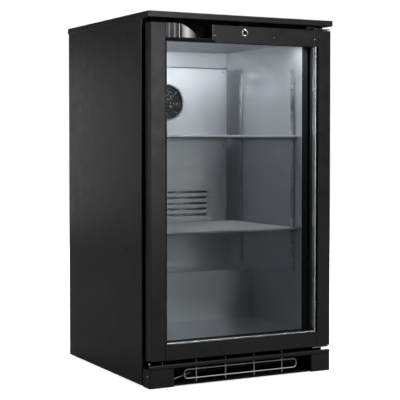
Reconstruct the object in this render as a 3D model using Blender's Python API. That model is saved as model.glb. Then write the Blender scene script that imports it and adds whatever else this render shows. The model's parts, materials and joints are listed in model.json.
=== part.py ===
"""Undercounter glass-door bottle cooler (single hinged door), in metres.

+Z is up and the door faces -Y. The origin is on the floor, under the middle of the lid.
The door hangs on the right-hand side (+X). Every sub-part is one closed solid with its own name.
"""

import math

import bmesh
import bpy
from mathutils import Matrix, Vector

# ---- driving dimensions ---------------------------------------------------------------------

HEIGHT = 0.900
LID_HALF = 0.260                # the lid is square in plan, and is the widest and deepest piece
LID_DROP = 0.015
LID_RETURN = -0.2180            # the lid folds under at the front, as far back as this
BODY_HALF = 0.2585              # outer face of the side panels, and of the back
BODY_FRONT = -0.2155
PANEL_TOP = HEIGHT - LID_DROP - 0.0005
PANEL_BOTTOM = 0.004
SHEET = 0.0012                  # painted outer sheet
LINER = 0.0010                  # embossed aluminium inner sheet
GAP = 0.0003                    # clearance between pieces that touch
OVERSHOOT = 0.010               # how far a cutting shape runs past the face it cuts
PANEL_HEM, PANEL_FOLD = 0.004, 0.012
GRILLE_TOP = 0.2385

CHAMBER_HALF = 0.215            # inner face of the side liners
CHAMBER_FLOOR = 0.0998
CHAMBER_CEILING = 0.8462
CHAMBER_BACK = 0.215
LINER_FRONT = -0.2120
STEP_FRONT = 0.0724             # the floor steps up over the machine compartment
STEP_TOP = 0.2350
MACHINE_FRONT = 0.1105
MACHINE_TOP = 0.2050
FOAM_BOTTOM = 0.0600

DOOR_LEFT, DOOR_RIGHT = -0.2515, 0.2585
DOOR_FRONT, DOOR_BACK = -0.2535, -0.2225
DOOR_BOTTOM, DOOR_TOP = 0.066, 0.874
STILE = 0.0385
RAIL_TOP, RAIL_BOTTOM = 0.0415, 0.038
GLASS_LEFT, GLASS_RIGHT = DOOR_LEFT + STILE, DOOR_RIGHT - STILE + 0.0005
GLASS_LOW, GLASS_HIGH = DOOR_BOTTOM + RAIL_BOTTOM, DOOR_TOP - RAIL_TOP
REBATE = 0.0085                 # how far the glazing goes into the frame
REBATE_FRONT, REBATE_BACK = -0.2505, -0.2295
PANE = 0.004

HANDLE_END = -0.0790            # the pull runs from the left stile to here
SCOOP_LEFT, SCOOP_RIGHT = -0.1700, -0.0820
NOSE_LENGTH, SCOOP_DEPTH = 0.0460, 0.0205    # the nose curves back into the finger pocket

HINGE_X, HINGE_Y = 0.2460, -0.2380
PIN_RADIUS = 0.0029
BUSH_BORE, BUSH_RADIUS, BUSH_SEAT = 0.0030, 0.0042, 0.0045
BUSH_DEPTH, BUSH_FLANGE = 0.024, 0.0065
GASKET_HALF, GASKET_LOW, GASKET_HIGH = 0.2260, 0.0925, 0.8530

LOCK_X, LOCK_Z = 0.0040, 0.8585
BARREL_RADIUS, COLLAR_RADIUS, COLLAR_SEAT = 0.0054, 0.0100, 0.0084
CAM_FRONT, CAM_BACK = -0.2420, -0.2395
CAM_REACH = 0.0250

PLINTH_LEFT, PLINTH_RIGHT = -0.2560, 0.2585
PLINTH_FRONT = -0.2545
PLINTH_TOP = 0.0555
RAIL_HEIGHT, RAIL_DEPTH = 0.010, 0.008
POST_LEFT_WIDTH, POST_RIGHT_WIDTH = 0.066, 0.0575
POST_WALL = 0.0015
POST_BOTTOM = 0.0015
GUARD_WIRES = [-0.1270 + 0.0815 * i for i in range(4)]
GUARD_LEFT, GUARD_RIGHT = -0.1585, 0.1620
GUARD_LOW, GUARD_HIGH = 0.0160, 0.0380
GUARD_Y = -0.2440
WIRE = 0.003

SHELF_HALF = 0.2085
SHELF_FRONT, SHELF_BACK = -0.1800, 0.1640
SHELF_TOPS = {"shelf_lower": 0.3660, "shelf_upper": 0.6070}
SHELF_THICK = 0.004
SHELF_LIP = 0.014
SHELF_WIRES = 20
CROSS_WIRES, CROSS_WIDTH = 4, 0.005

FOOT_RADIUS = 0.014
FOOT_PLACES = {
    "foot_front_left": (-0.2250, -0.1850),
    "foot_front_right": (0.2250, -0.1850),
    "foot_rear_left": (-0.2250, 0.2250),
    "foot_rear_right": (0.2250, 0.2250),
}
STUD_RADIUS, STUD_TOP = 0.004, 0.026
PAN_BOTTOM, PAN_TOP = 0.0030, 0.0045

COMPRESSOR_X, COMPRESSOR_Y = -0.0950, 0.1835
COMPRESSOR_TOP, COMPRESSOR_RADIUS = 0.160, 0.058
MACHINE_FAN_RADIUS, CHILLER_FAN_RADIUS = 0.052, 0.044
MACHINE_FAN = Vector((0.0740, 0.1835, 0.1000))
CHILLER_FAN = Vector((0.0, 0.1750, 0.7000))
CHILLER_FRONT = 0.1700
CHILLER_HALF = 0.190
CHILLER_LOW, CHILLER_HIGH = 0.3600, 0.8000
INLET_X, INLET_Z = 0.1900, 0.1868
INLET_PLATE_LEFT, INLET_PLATE_LOW = 0.1665, 0.1528
CONTROL_LEFT, CONTROL_RIGHT = -0.2000, -0.1300
CONTROL_FRONT = 0.0600
KNOB = Vector((-0.1820, CONTROL_FRONT, 0.8310))
ROCKER = Vector((-0.1490, CONTROL_FRONT + 0.0010, 0.8310))
ROCKER_TILT = 8.0               # degrees, with the switch off


# ---- mesh helpers ---------------------------------------------------------------------------

AXES = {"x": (1, 2, 0), "y": (0, 2, 1), "z": (0, 1, 2)}


def place(axis, a, b, along):
    """The point with plane coordinates a, b and the given distance along the axis."""
    point = [0.0, 0.0, 0.0]
    first, second, third = AXES[axis]
    point[first], point[second], point[third] = a, b, along
    return Vector(point)


def prism(axis, outline, low, high):
    """A straight extrusion of a flat outline along an axis."""
    bm = bmesh.new()
    base = [bm.verts.new(place(axis, a, b, low)) for a, b in outline]
    top = [bm.verts.new(place(axis, a, b, high)) for a, b in outline]
    bm.faces.new(base)
    bm.faces.new(top[::-1])
    for i in range(len(outline)):
        j = (i + 1) % len(outline)
        bm.faces.new((base[i], top[i], top[j], base[j]))
    return bm


def block(low, high):
    """A box between two corners."""
    (x0, y0, z0), (x1, y1, z1) = low, high
    return prism("z", [(x0, y0), (x1, y0), (x1, y1), (x0, y1)], z0, z1)


def mitred_ring(profile, left, right, low, high):
    """A closed frame round a rectangle in the XZ plane.

    The profile is a list of (outward offset, y) points, and each corner is mitred.
    """
    bm = bmesh.new()
    corners = []
    sides = ((-1, -1, left, low), (1, -1, right, low), (1, 1, right, high), (-1, 1, left, high))
    for sx, sz, x, z in sides:
        corners.append([bm.verts.new((x + sx * u, y, z + sz * u)) for u, y in profile])
    count = len(profile)
    for c in range(4):
        here, there = corners[c], corners[(c + 1) % 4]
        for i in range(count):
            j = (i + 1) % count
            bm.faces.new((here[i], there[i], there[j], here[j]))
    return bm


def turned(axis, centre, profile, segments=24, tube=False):
    """A solid of revolution. The profile is a list of (radius, distance along the axis) points.

    It starts and ends on the axis, or is a closed loop clear of it when tube is true.
    """
    bm = bmesh.new()
    rings = []
    for radius, along in profile:
        if radius == 0:
            rings.append([bm.verts.new(place(axis, 0, 0, along))])
            continue
        turns = [2 * math.pi * k / segments for k in range(segments)]
        ring = [bm.verts.new(place(axis, radius * math.cos(t), radius * math.sin(t), along)) for t in turns]
        rings.append(ring)
    pairs = list(zip(rings, rings[1:]))
    if tube:
        pairs.append((rings[-1], rings[0]))
    for one, two in pairs:
        for k in range(segments):
            n = (k + 1) % segments
            if len(one) == 1:
                bm.faces.new((one[0], two[k], two[n]))
            elif len(two) == 1:
                bm.faces.new((one[k], two[0], one[n]))
            else:
                bm.faces.new((one[k], two[k], two[n], one[n]))
    bm.transform(Matrix.Translation(Vector(centre)))
    return bm


def rod(axis, centre, radius, low, high, segments=24):
    """A plain cylinder along an axis, from low to high."""
    centre = Vector(centre)
    centre[AXES[axis][2]] = 0
    return turned(axis, centre, [(0, low), (radius, low), (radius, high), (0, high)], segments)


def grille(axis, firsts, seconds, is_open, low, high):
    """A flat plate made of the cells between grid lines, where is_open(i, j) leaves a cell out."""
    bm = bmesh.new()
    corners = {}

    def corner(i, j, side):
        key = (i, j, side)
        if key not in corners:
            corners[key] = bm.verts.new(place(axis, firsts[i], seconds[j], (low, high)[side]))
        return corners[key]

    across, along = len(firsts) - 1, len(seconds) - 1
    filled = {(i, j) for i in range(across) for j in range(along) if not is_open(i, j)}
    for i, j in sorted(filled):
        for side in (0, 1):
            bm.faces.new([corner(i + a, j + b, side) for a, b in ((0, 0), (1, 0), (1, 1), (0, 1))])
        for (di, dj), ends in (
            ((-1, 0), ((0, 0), (0, 1))),
            ((1, 0), ((1, 0), (1, 1))),
            ((0, -1), ((0, 0), (1, 0))),
            ((0, 1), ((0, 1), (1, 1))),
        ):
            if (i + di, j + dj) not in filled:
                (a, b), (c, d) = ends
                bm.faces.new((corner(i + a, j + b, 0), corner(i + c, j + d, 0),
                              corner(i + c, j + d, 1), corner(i + a, j + b, 1)))
    return bm


def bars_and_gaps(low, high, bars, bar):
    """Grid lines for evenly spaced bars that start at low and end at high."""
    pitch = (high - low - bar) / (bars - 1)
    lines = []
    for k in range(bars):
        lines += [low + k * pitch, low + k * pitch + bar]
    return lines


# ---- objects, materials and modifiers -------------------------------------------------------

def paint(name, colour, roughness, metallic=0.0, alpha=1.0):
    """A plain Principled material."""
    material = bpy.data.materials.new(name)
    material.use_nodes = True
    shader = material.node_tree.nodes["Principled BSDF"]
    shader.inputs["Base Color"].default_value = (*colour, 1.0)
    shader.inputs["Roughness"].default_value = roughness
    shader.inputs["Metallic"].default_value = metallic
    shader.inputs["Alpha"].default_value = alpha
    return material


def pivot(name, origin, parent=None):
    """An empty on a joint's axis."""
    empty = bpy.data.objects.new(name, None)
    empty.empty_display_size = 0.03
    bpy.context.scene.collection.objects.link(empty)
    fix(empty, origin, parent)
    return empty


def fix(obj, origin, parent):
    """Puts an object at a world position under an unrotated parent."""
    obj.parent = parent
    above = parent.matrix_world.translation if parent else Vector((0, 0, 0))
    obj.location = Vector(origin) - above
    bpy.context.view_layer.update()


def to_object(name, bm, origin, parent, smooth):
    bmesh.ops.recalc_face_normals(bm, faces=bm.faces)
    corners = [v.co.copy() for v in bm.verts]
    if origin is None:
        lows = [min(c[k] for c in corners) for k in range(3)]
        highs = [max(c[k] for c in corners) for k in range(3)]
        origin = (Vector(lows) + Vector(highs)) / 2
    bm.transform(Matrix.Translation(-Vector(origin)))
    mesh = bpy.data.meshes.new(name)
    bm.to_mesh(mesh)
    bm.free()
    if smooth:
        mesh.shade_smooth()
        mesh.set_sharp_from_angle(angle=math.radians(35))
    obj = bpy.data.objects.new(name, mesh)
    bpy.context.scene.collection.objects.link(obj)
    fix(obj, origin, parent)
    return obj


def add(name, bm, material, parent=None, origin=None, smooth=False, edge=0.0, steps=1):
    """Adds one sub-part, with an optional rounded edge."""
    obj = to_object(name, bm, origin, parent, smooth)
    obj.data.materials.append(material)
    if edge:
        bevel = obj.modifiers.new("rounded_edges", "BEVEL")
        bevel.width = edge
        bevel.segments = steps
        bevel.limit_method = "ANGLE"
    return obj


def tool(obj, bm, operation):
    """Cuts a shape out of a sub-part, or joins one to it."""
    helper = to_object(f"{obj.name}_{operation.lower()}_{len(obj.modifiers)}", bm, None, None, False)
    helper.hide_render = True
    helper.display_type = "WIRE"
    boolean = obj.modifiers.new(operation.lower(), "BOOLEAN")
    boolean.operation = operation
    boolean.solver = "EXACT"
    boolean.object = helper


def cut(obj, bm):
    tool(obj, bm, "DIFFERENCE")


def join(obj, bm):
    tool(obj, bm, "UNION")


# ---- cabinet shell --------------------------------------------------------------------------

def build_shell(m):
    under_lid = HEIGHT - LID_DROP
    lid = add("top_lid", block((-LID_HALF, -LID_HALF, under_lid), (LID_HALF, LID_HALF, HEIGHT)),
              m["black_steel"], edge=0.0012, steps=2)
    inner, below = LID_HALF - SHEET, under_lid - OVERSHOOT
    hollow = [(-inner, under_lid + SHEET), (LID_RETURN, under_lid + SHEET), (LID_RETURN, below),
              (inner, below), (inner, HEIGHT - SHEET), (-inner, HEIGHT - SHEET)]
    cut(lid, prism("x", hollow, -inner, inner))

    for side, name in ((-1, "side_panel_left"), (1, "side_panel_right")):
        outer, inner = BODY_HALF, BODY_HALF - SHEET
        hem, fold = outer - PANEL_HEM, outer - PANEL_FOLD
        outline = [
            (outer, BODY_FRONT), (outer, BODY_HALF), (fold, BODY_HALF),
            (fold, BODY_HALF - SHEET), (inner, BODY_HALF - SHEET),
            (inner, BODY_FRONT + SHEET), (hem, BODY_FRONT + SHEET), (hem, BODY_FRONT),
        ]
        shape = prism("z", [(side * x, y) for x, y in outline], PANEL_BOTTOM, PANEL_TOP)
        add(name, shape, m["black_steel"])

    back_half = BODY_HALF - PANEL_FOLD - 0.0005
    back_faces = (BODY_HALF - GAP - SHEET, BODY_HALF - GAP)
    add("back_panel", block((-back_half, back_faces[0], GRILLE_TOP + 0.0015),
                            (back_half, back_faces[1], PANEL_TOP)), m["galvanised"])

    rows = bars_and_gaps(0.0060, GRILLE_TOP, 14, 0.0085)
    columns = [-back_half, -0.2200, -0.0100, 0.0100, 0.1580, INLET_PLATE_LEFT - 0.0005, 0.2200, back_half]
    slotted, slotted_below, notch = (1, 3), (1, 3, 4, 5), (5, 6)
    inlet_row = 17

    def open_cell(i, j):
        """The sheet has rows of slots, and a notch in its top corner for the inlet's plate."""
        if j >= inlet_row and i in notch:
            return True
        return j % 2 == 1 and i in (slotted if j >= inlet_row else slotted_below)

    add("rear_grille", grille("y", columns, rows, open_cell, *back_faces), m["galvanised"])

    front, rear = LINER_FRONT - 0.0005, BODY_HALF - 0.0018
    top = HEIGHT - 0.0020
    outline = [(front, FOAM_BOTTOM), (MACHINE_FRONT, FOAM_BOTTOM), (MACHINE_FRONT, MACHINE_TOP),
               (rear, MACHINE_TOP), (rear, top), (front, top)]
    half = BODY_HALF - SHEET - GAP
    foam = add("foam_insulation", prism("x", outline, -half, half), m["foam"])
    skin = LINER + GAP
    hollow = [
        (front - OVERSHOOT, CHAMBER_FLOOR - skin), (STEP_FRONT + skin, CHAMBER_FLOOR - skin),
        (STEP_FRONT + skin, STEP_TOP - skin), (CHAMBER_BACK + skin, STEP_TOP - skin),
        (CHAMBER_BACK + skin, CHAMBER_CEILING + skin), (front - OVERSHOOT, CHAMBER_CEILING + skin),
    ]
    cut(foam, prism("x", hollow, -CHAMBER_HALF - skin, CHAMBER_HALF + skin))


def build_liner(m):
    """The inner walls, the frame round the door opening and the shelf rails."""
    low, high = CHAMBER_FLOOR - LINER, CHAMBER_CEILING + LINER
    behind, below = STEP_FRONT + LINER, STEP_TOP - LINER
    outline = [(LINER_FRONT, low), (behind, low), (behind, below), (CHAMBER_BACK + LINER, below),
               (CHAMBER_BACK + LINER, high), (LINER_FRONT, high)]
    for side, name in ((-1, "liner_left"), (1, "liner_right")):
        x0, x1 = sorted((side * CHAMBER_HALF, side * (CHAMBER_HALF + LINER)))
        add(name, prism("x", outline, x0, x1), m["liner"])

    half, back = CHAMBER_HALF - GAP, CHAMBER_BACK - GAP
    floor = [(LINER_FRONT, low), (behind, low), (behind, below), (back, below), (back, STEP_TOP),
             (STEP_FRONT, STEP_TOP), (STEP_FRONT, CHAMBER_FLOOR), (LINER_FRONT, CHAMBER_FLOOR)]
    add("liner_floor", prism("x", floor, -half, half), m["liner"])
    add("liner_ceiling", block((-half, LINER_FRONT, CHAMBER_CEILING), (half, back, high)), m["liner"])
    add("liner_back", block((-half, CHAMBER_BACK, STEP_TOP + GAP),
                            (half, CHAMBER_BACK + LINER, CHAMBER_CEILING - GAP)), m["liner"])

    wall, front = 0.0020, BODY_FRONT + 0.0005
    depth, flange = 0.0250, 0.0413
    profile = [(0, front + depth), (0, front), (flange, front), (flange, front + wall),
               (wall, front + wall), (wall, front + depth)]
    inset = wall + 0.0004
    add("breaker_frame", mitred_ring(profile, -CHAMBER_HALF + inset, CHAMBER_HALF - inset,
                                     CHAMBER_FLOOR + inset, CHAMBER_CEILING - inset), m["black_plastic"])

    low, high, width, thick = 0.2500, 0.7800, 0.0140, 0.0035
    for side, label in ((-1, "left"), (1, "right")):
        for y, end in ((-0.1500, "front"), (0.1200, "rear")):
            x0, x1 = sorted((side * half, side * (half - thick)))
            add(f"pilaster_{end}_{label}", block((x0, y, low), (x1, y + width, high)), m["bright_steel"])


# ---- plinth, base and feet ------------------------------------------------------------------

def build_plinth(m):
    back = BODY_FRONT - 0.0010
    rail_low = PLINTH_TOP - RAIL_HEIGHT
    add("plinth_rail", block((PLINTH_LEFT, PLINTH_FRONT, rail_low),
                             (PLINTH_RIGHT, PLINTH_FRONT + RAIL_DEPTH, PLINTH_TOP)),
        m["black_steel"], edge=0.002, steps=2)

    posts = (
        ("plinth_post_left", PLINTH_LEFT, PLINTH_LEFT + POST_LEFT_WIDTH),
        ("plinth_post_right", PLINTH_RIGHT - POST_RIGHT_WIDTH, PLINTH_RIGHT),
    )
    for name, x0, x1 in posts:
        inner_left, inner_right, inner_front = x0 + POST_WALL, x1 - POST_WALL, PLINTH_FRONT + POST_WALL
        outline = [(x0, back), (x0, PLINTH_FRONT), (x1, PLINTH_FRONT), (x1, back), (inner_right, back),
                   (inner_right, inner_front), (inner_left, inner_front), (inner_left, back)]
        add(name, prism("z", outline, POST_BOTTOM, rail_low - GAP), m["black_steel"])

    stops = [GUARD_LEFT, *GUARD_WIRES, GUARD_RIGHT - WIRE]
    lines = [edge for x in stops for edge in (x, x + WIRE)]
    half = WIRE / 2
    heights = [0.0060, GUARD_LOW - half, GUARD_LOW + half, GUARD_HIGH - half, GUARD_HIGH + half, 0.0610]
    end_columns, beyond_wires = (0, 10), (0, 4)

    def open_cell(i, j):
        if i in end_columns:
            return j in beyond_wires
        return i % 2 == 1 and j % 2 == 0

    guard = grille("y", lines, heights, open_cell, GUARD_Y - half, GUARD_Y + half)
    add("plinth_wire_guard", guard, m["bright_steel"])

    side = BODY_HALF - SHEET - 0.0005
    left, right = PLINTH_LEFT + POST_LEFT_WIDTH + 0.001, PLINTH_RIGHT - POST_RIGHT_WIDTH - 0.001
    tongue, shoulder, rear = PLINTH_FRONT + 0.0015, BODY_FRONT + 0.0020, BODY_HALF - 0.0020
    outline = [(-side, shoulder), (left, shoulder), (left, tongue), (right, tongue),
               (right, shoulder), (side, shoulder), (side, rear), (-side, rear)]
    pan = add("base_pan", prism("z", outline, PAN_BOTTOM, PAN_TOP), m["black_steel"])
    for name, (x, y) in FOOT_PLACES.items():
        cut(pan, rod("z", (x, y, 0), STUD_RADIUS + 0.0006, PAN_BOTTOM - OVERSHOOT, PAN_TOP + OVERSHOOT, 16))
        neck = PAN_BOTTOM - GAP
        profile = [(0, 0), (FOOT_RADIUS - 0.001, 0), (FOOT_RADIUS, 0.0008), (FOOT_RADIUS, 0.0022),
                   (FOOT_RADIUS - 0.002, neck), (STUD_RADIUS, neck), (STUD_RADIUS, STUD_TOP), (0, STUD_TOP)]
        axis = pivot(f"{name}_axis", (x, y, 0))
        add(name, turned("z", (x, y, 0), profile), m["black_plastic"], axis, (x, y, 0), smooth=True)


# ---- door -----------------------------------------------------------------------------------

def stile_outline(outer, inner):
    """Plan section of a stile, with the glazing rebate in its inner side."""
    toward = 1 if outer > inner else -1
    deep = inner + toward * REBATE
    return [(outer, DOOR_FRONT), (outer, DOOR_BACK), (inner, DOOR_BACK), (inner, REBATE_BACK),
            (deep, REBATE_BACK), (deep, REBATE_FRONT), (inner, REBATE_FRONT), (inner, DOOR_FRONT)]


def rail_outline(outer, inner):
    """Side section of a rail, with the glazing rebate in its inner side."""
    return [(y, z) for z, y in stile_outline(outer, inner)]


def build_door(m, door):
    black = m["black_aluminium"]
    edge = 0.0009
    left_stile = prism("z", stile_outline(DOOR_LEFT, GLASS_LEFT), DOOR_BOTTOM, DOOR_TOP)
    add("door_stile_left", left_stile, black, door, edge=edge)
    right_stile = prism("z", stile_outline(DOOR_RIGHT, GLASS_RIGHT), DOOR_BOTTOM, DOOR_TOP)
    stile = add("door_stile_right", right_stile, black, door, edge=edge)
    depth = BUSH_DEPTH + 0.001
    for z in (DOOR_BOTTOM, DOOR_TOP):
        cut(stile, rod("z", (HINGE_X, HINGE_Y, 0), BUSH_SEAT, z - depth, z + depth))

    left, right = GLASS_LEFT + GAP, GLASS_RIGHT - GAP
    add("door_rail_bottom", prism("x", rail_outline(DOOR_BOTTOM, GLASS_LOW), left, right), black, door)
    top_rail = prism("x", rail_outline(DOOR_TOP, GLASS_HIGH), HANDLE_END + GAP, right)
    rail = add("door_rail_top", top_rail, black, door)
    cut(rail, rod("y", (LOCK_X, 0, LOCK_Z), COLLAR_SEAT, DOOR_FRONT - OVERSHOOT, CAM_BACK + 0.0005))
    cut(rail, block((LOCK_X - 0.0065, CAM_FRONT - 0.0004, LOCK_Z - 0.0070),
                    (LOCK_X + CAM_REACH + 0.0025, CAM_BACK + 0.0007, DOOR_TOP + OVERSHOOT)))

    pull = add("handle_insert", prism("x", rail_outline(DOOR_TOP, GLASS_HIGH), left, HANDLE_END),
               m["bright_steel"], door)
    lip = GLASS_HIGH + 0.0065
    front, floor = DOOR_FRONT + 0.0020, lip + 0.0035
    outside, above = DOOR_FRONT - OVERSHOOT, DOOR_TOP + OVERSHOOT
    mouth = [(outside, lip), (DOOR_FRONT, lip), (front, floor), (front, above), (outside, above)]
    cut(pull, prism("x", mouth, SCOOP_LEFT, SCOOP_RIGHT))
    turns = [math.radians(15 * k) for k in range(1, 7)]
    nose = [(SCOOP_LEFT + NOSE_LENGTH * math.sin(t), front + SCOOP_DEPTH * (1 - math.cos(t)))
            for t in turns]
    pocket = [(SCOOP_LEFT, outside), (SCOOP_LEFT, front), *nose, (SCOOP_RIGHT, nose[-1][1]),
              (SCOOP_RIGHT, outside)]
    cut(pull, prism("z", pocket, floor, above))
    margin = 0.0060
    cut(pull, block((left + margin, outside, GLASS_HIGH + 0.0045),
                    (SCOOP_LEFT - margin, DOOR_FRONT + 0.0015, above)))

    tuck = REBATE - 0.0010
    outer_face, inner_face = REBATE_FRONT + 0.0005, REBATE_BACK - 0.0005
    for name, y in (("glass_outer", outer_face), ("glass_inner", inner_face - PANE)):
        add(name, block((GLASS_LEFT - tuck, y, GLASS_LOW - tuck),
                        (GLASS_RIGHT + tuck, y + PANE, GLASS_HIGH + tuck)), m["glass"], door)
    y0, y1 = outer_face + PANE + GAP, inner_face - PANE - GAP
    width, inset = 0.0070, 0.0008
    profile = [(0, y0), (0, y1), (width, y1), (width, y0)]
    add("glass_spacer", mitred_ring(profile, GLASS_LEFT + inset, GLASS_RIGHT - inset,
                                    GLASS_LOW + inset, GLASS_HIGH - inset), m["bright_steel"], door)

    y0, y1 = DOOR_BACK + GAP, BODY_FRONT + 0.0002
    width, taper = 0.0140, 0.0010
    profile = [(0, y0), (taper, y1), (width - taper, y1), (width, y0)]
    add("door_gasket", mitred_ring(profile, -GASKET_HALF, GASKET_HALF, GASKET_LOW, GASKET_HIGH),
        m["rubber"], door)


def build_hinges(m, door):
    """Each bracket is a plate with a fixed pin, and the door turns on two flanged bushes."""
    centre = (HINGE_X, HINGE_Y, 0)
    left, right, ear_right = 0.2080, 0.2575, 0.2345
    front, back, ear = -0.2500, -0.2160, 0.0015
    for name, end, away, ear_top in (("bottom", DOOR_BOTTOM, -1, DOOR_BOTTOM + 0.0100),
                                     ("top", DOOR_TOP, 1, HEIGHT - 0.0030)):
        def z(offset):
            return end + away * offset

        profile = [(BUSH_BORE, z(0.0016)), (BUSH_FLANGE, z(0.0016)), (BUSH_FLANGE, z(GAP)),
                   (BUSH_RADIUS, z(GAP)), (BUSH_RADIUS, z(-BUSH_DEPTH)), (BUSH_BORE, z(-BUSH_DEPTH))]
        add(f"hinge_bush_{name}", turned("z", centre, profile, tube=True), m["white_plastic"], door,
            smooth=True)

        low, high = sorted((z(0.0022), z(0.0047)))
        bracket = add(f"hinge_bracket_{name}", block((left, front, low), (right, back, high)),
                      m["bright_steel"])
        join(bracket, block((left, back - ear, low + 0.0005), (ear_right, back, ear_top)))
        pin_low, pin_high = sorted((z(0.0040), z(0.0030 - BUSH_DEPTH)))
        join(bracket, rod("z", centre, PIN_RADIUS, pin_low, pin_high))


def build_lock(m, door):
    """A key lock whose cam turns up behind a keeper that hangs under the lid."""
    lock = pivot("lock_axis", (LOCK_X, DOOR_FRONT, LOCK_Z), door)
    centre = (LOCK_X, 0, LOCK_Z)
    bore, neck, rim = BARREL_RADIUS + GAP, COLLAR_SEAT - 0.0004, COLLAR_RADIUS
    face, end = DOOR_FRONT - 0.0017, CAM_FRONT - 0.0010
    profile = [(bore, face), (rim - 0.0015, face), (rim, face + 0.0012), (rim, DOOR_FRONT - GAP),
               (neck, DOOR_FRONT - GAP), (neck, end), (bore, end)]
    add("lock_collar", turned("y", centre, profile, 28, tube=True), m["chrome"], door, smooth=True)
    tip, end = face - 0.0006, CAM_FRONT - GAP
    profile = [(0, tip), (BARREL_RADIUS - 0.0006, tip), (BARREL_RADIUS, face), (BARREL_RADIUS, end),
               (0, end)]
    add("lock_barrel", turned("y", centre, profile), m["chrome"], lock, (LOCK_X, DOOR_FRONT, LOCK_Z),
        smooth=True)
    round_end, chamfer = 0.0045, 0.0015
    turns = [math.radians(90 + 20 * k) for k in range(10)]
    outline = [(LOCK_X + round_end * math.cos(t), LOCK_Z + round_end * math.sin(t)) for t in turns]
    tip, top = LOCK_X + CAM_REACH, LOCK_Z + round_end
    outline += [(tip, LOCK_Z - round_end), (tip, top - chamfer), (tip - chamfer, top)]
    add("lock_cam", prism("y", outline, CAM_FRONT, CAM_BACK), m["bright_steel"], lock,
        (LOCK_X, CAM_FRONT, LOCK_Z))
    half, thick, low, top = 0.0120, 0.0015, DOOR_TOP + 0.0025, HEIGHT - LID_DROP - GAP
    front, rear = CAM_FRONT - 0.0140, CAM_FRONT - 0.0017
    outline = [(rear - thick, low), (rear, low), (rear, top), (front, top), (front, top - thick),
               (rear - thick, top - thick)]
    add("lock_keeper", prism("x", outline, LOCK_X - half, LOCK_X + half), m["black_steel"])


# ---- shelves and interior fittings ----------------------------------------------------------

def build_shelves(m):
    """Each shelf lifts off its clips, so it hangs from an empty at its middle."""
    lines = bars_and_gaps(-SHELF_HALF, SHELF_HALF, SHELF_WIRES, WIRE)
    cross = bars_and_gaps(SHELF_FRONT, SHELF_BACK, CROSS_WIRES, CROSS_WIDTH)
    for name, top in SHELF_TOPS.items():
        axis = pivot(f"{name}_axis", (0, 0, top))
        wires = grille("z", lines, cross, lambda i, j: i % 2 == 1 and j % 2 == 1, top - SHELF_THICK, top)
        shelf = add(name, wires, m["bright_steel"], axis, (0, 0, top))
        join(shelf, block((-SHELF_HALF, SHELF_FRONT + 0.0005, top - SHELF_LIP),
                          (SHELF_HALF, SHELF_FRONT + 0.0035, top - SHELF_THICK / 2)))


def blade_wheel(axis, centre, radius, hub, depth, blades=5):
    """A hub as a solid of revolution, with the blades' shapes to join to it."""
    start = centre[AXES[axis][2]]
    wheel = rod(axis, centre, hub, start, start + depth, 20)
    stations = ((hub * 0.7, 0.26), (radius * 0.70, 0.42), (radius, 0.34))
    thick, middle, twist = 0.0016, 0.42, 0.30
    quads = ((0, 1, 3, 2), (2, 3, 5, 4), (6, 7, 9, 8), (8, 9, 11, 10), (0, 2, 8, 6), (2, 4, 10, 8),
             (1, 3, 9, 7), (3, 5, 11, 9), (0, 1, 7, 6), (4, 5, 11, 10))
    shapes = []
    for k in range(blades):
        bm = bmesh.new()
        corners = []
        for layer in (0.0, thick):
            for r, half_turn in stations:
                for s in (-1, 1):
                    t = s * half_turn + 2 * math.pi * k / blades
                    rise = depth * (middle + twist * s) + layer
                    corners.append(bm.verts.new(place(axis, r * math.cos(t), r * math.sin(t), rise)))
        for quad in quads:
            bm.faces.new([corners[i] for i in quad])
        bm.transform(Matrix.Translation(centre))
        shapes.append(bm)
    return wheel, shapes


def build_chiller(m):
    """The evaporator, its fan and the cover that ducts air over them, on the back wall."""
    back = CHAMBER_BACK - GAP
    cover = add("evaporator_cover", block((-CHILLER_HALF, CHILLER_FRONT, CHILLER_LOW),
                                          (CHILLER_HALF, back, CHILLER_HIGH)), m["liner"])
    inner, front = CHILLER_HALF - SHEET, CHILLER_FRONT + SHEET
    cut(cover, block((-inner, front, CHILLER_LOW + SHEET), (inner, back + OVERSHOOT, CHILLER_HIGH - SHEET)))
    before, after = CHILLER_FRONT - OVERSHOOT, CHILLER_FRONT + OVERSHOOT
    cut(cover, rod("y", CHILLER_FAN, CHILLER_FAN_RADIUS + 0.004, before, after, 32))
    slots, slot_half, slot_height, slot_pitch = 5, 0.120, 0.006, 0.016
    for k in range(slots):
        z = CHILLER_LOW + 0.022 + slot_pitch * k
        cut(cover, block((-slot_half, before, z), (slot_half, after, z + slot_height)))

    fins = bars_and_gaps(-0.150, 0.150, 26, 0.0035)
    rows = bars_and_gaps(0.4700, 0.5880, 3, 0.0060)
    block_of_fins = grille("y", fins, rows, lambda i, j: i % 2 == 1 and j % 2 == 1, 0.1800, 0.2100)
    add("evaporator_coil", block_of_fins, m["raw_aluminium"])

    centre = (CHILLER_FAN.x, 0, CHILLER_FAN.z)
    face, foot = CHILLER_FAN.y + 0.0140, back - 0.0020
    profile = [(0, face), (0.012, face), (0.020, face + 0.003), (0.020, foot), (0.026, foot),
               (0.026, back), (0, back)]
    add("evaporator_fan_motor", turned("y", centre, profile), m["black_plastic"], smooth=True)
    axis = pivot("evaporator_fan_axis", CHILLER_FAN)
    wheel, blades = blade_wheel("y", CHILLER_FAN, CHILLER_FAN_RADIUS, 0.014, 0.0125)
    fan = add("evaporator_fan", wheel, m["black_plastic"], axis, CHILLER_FAN)
    for blade in blades:
        join(fan, blade)


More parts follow.
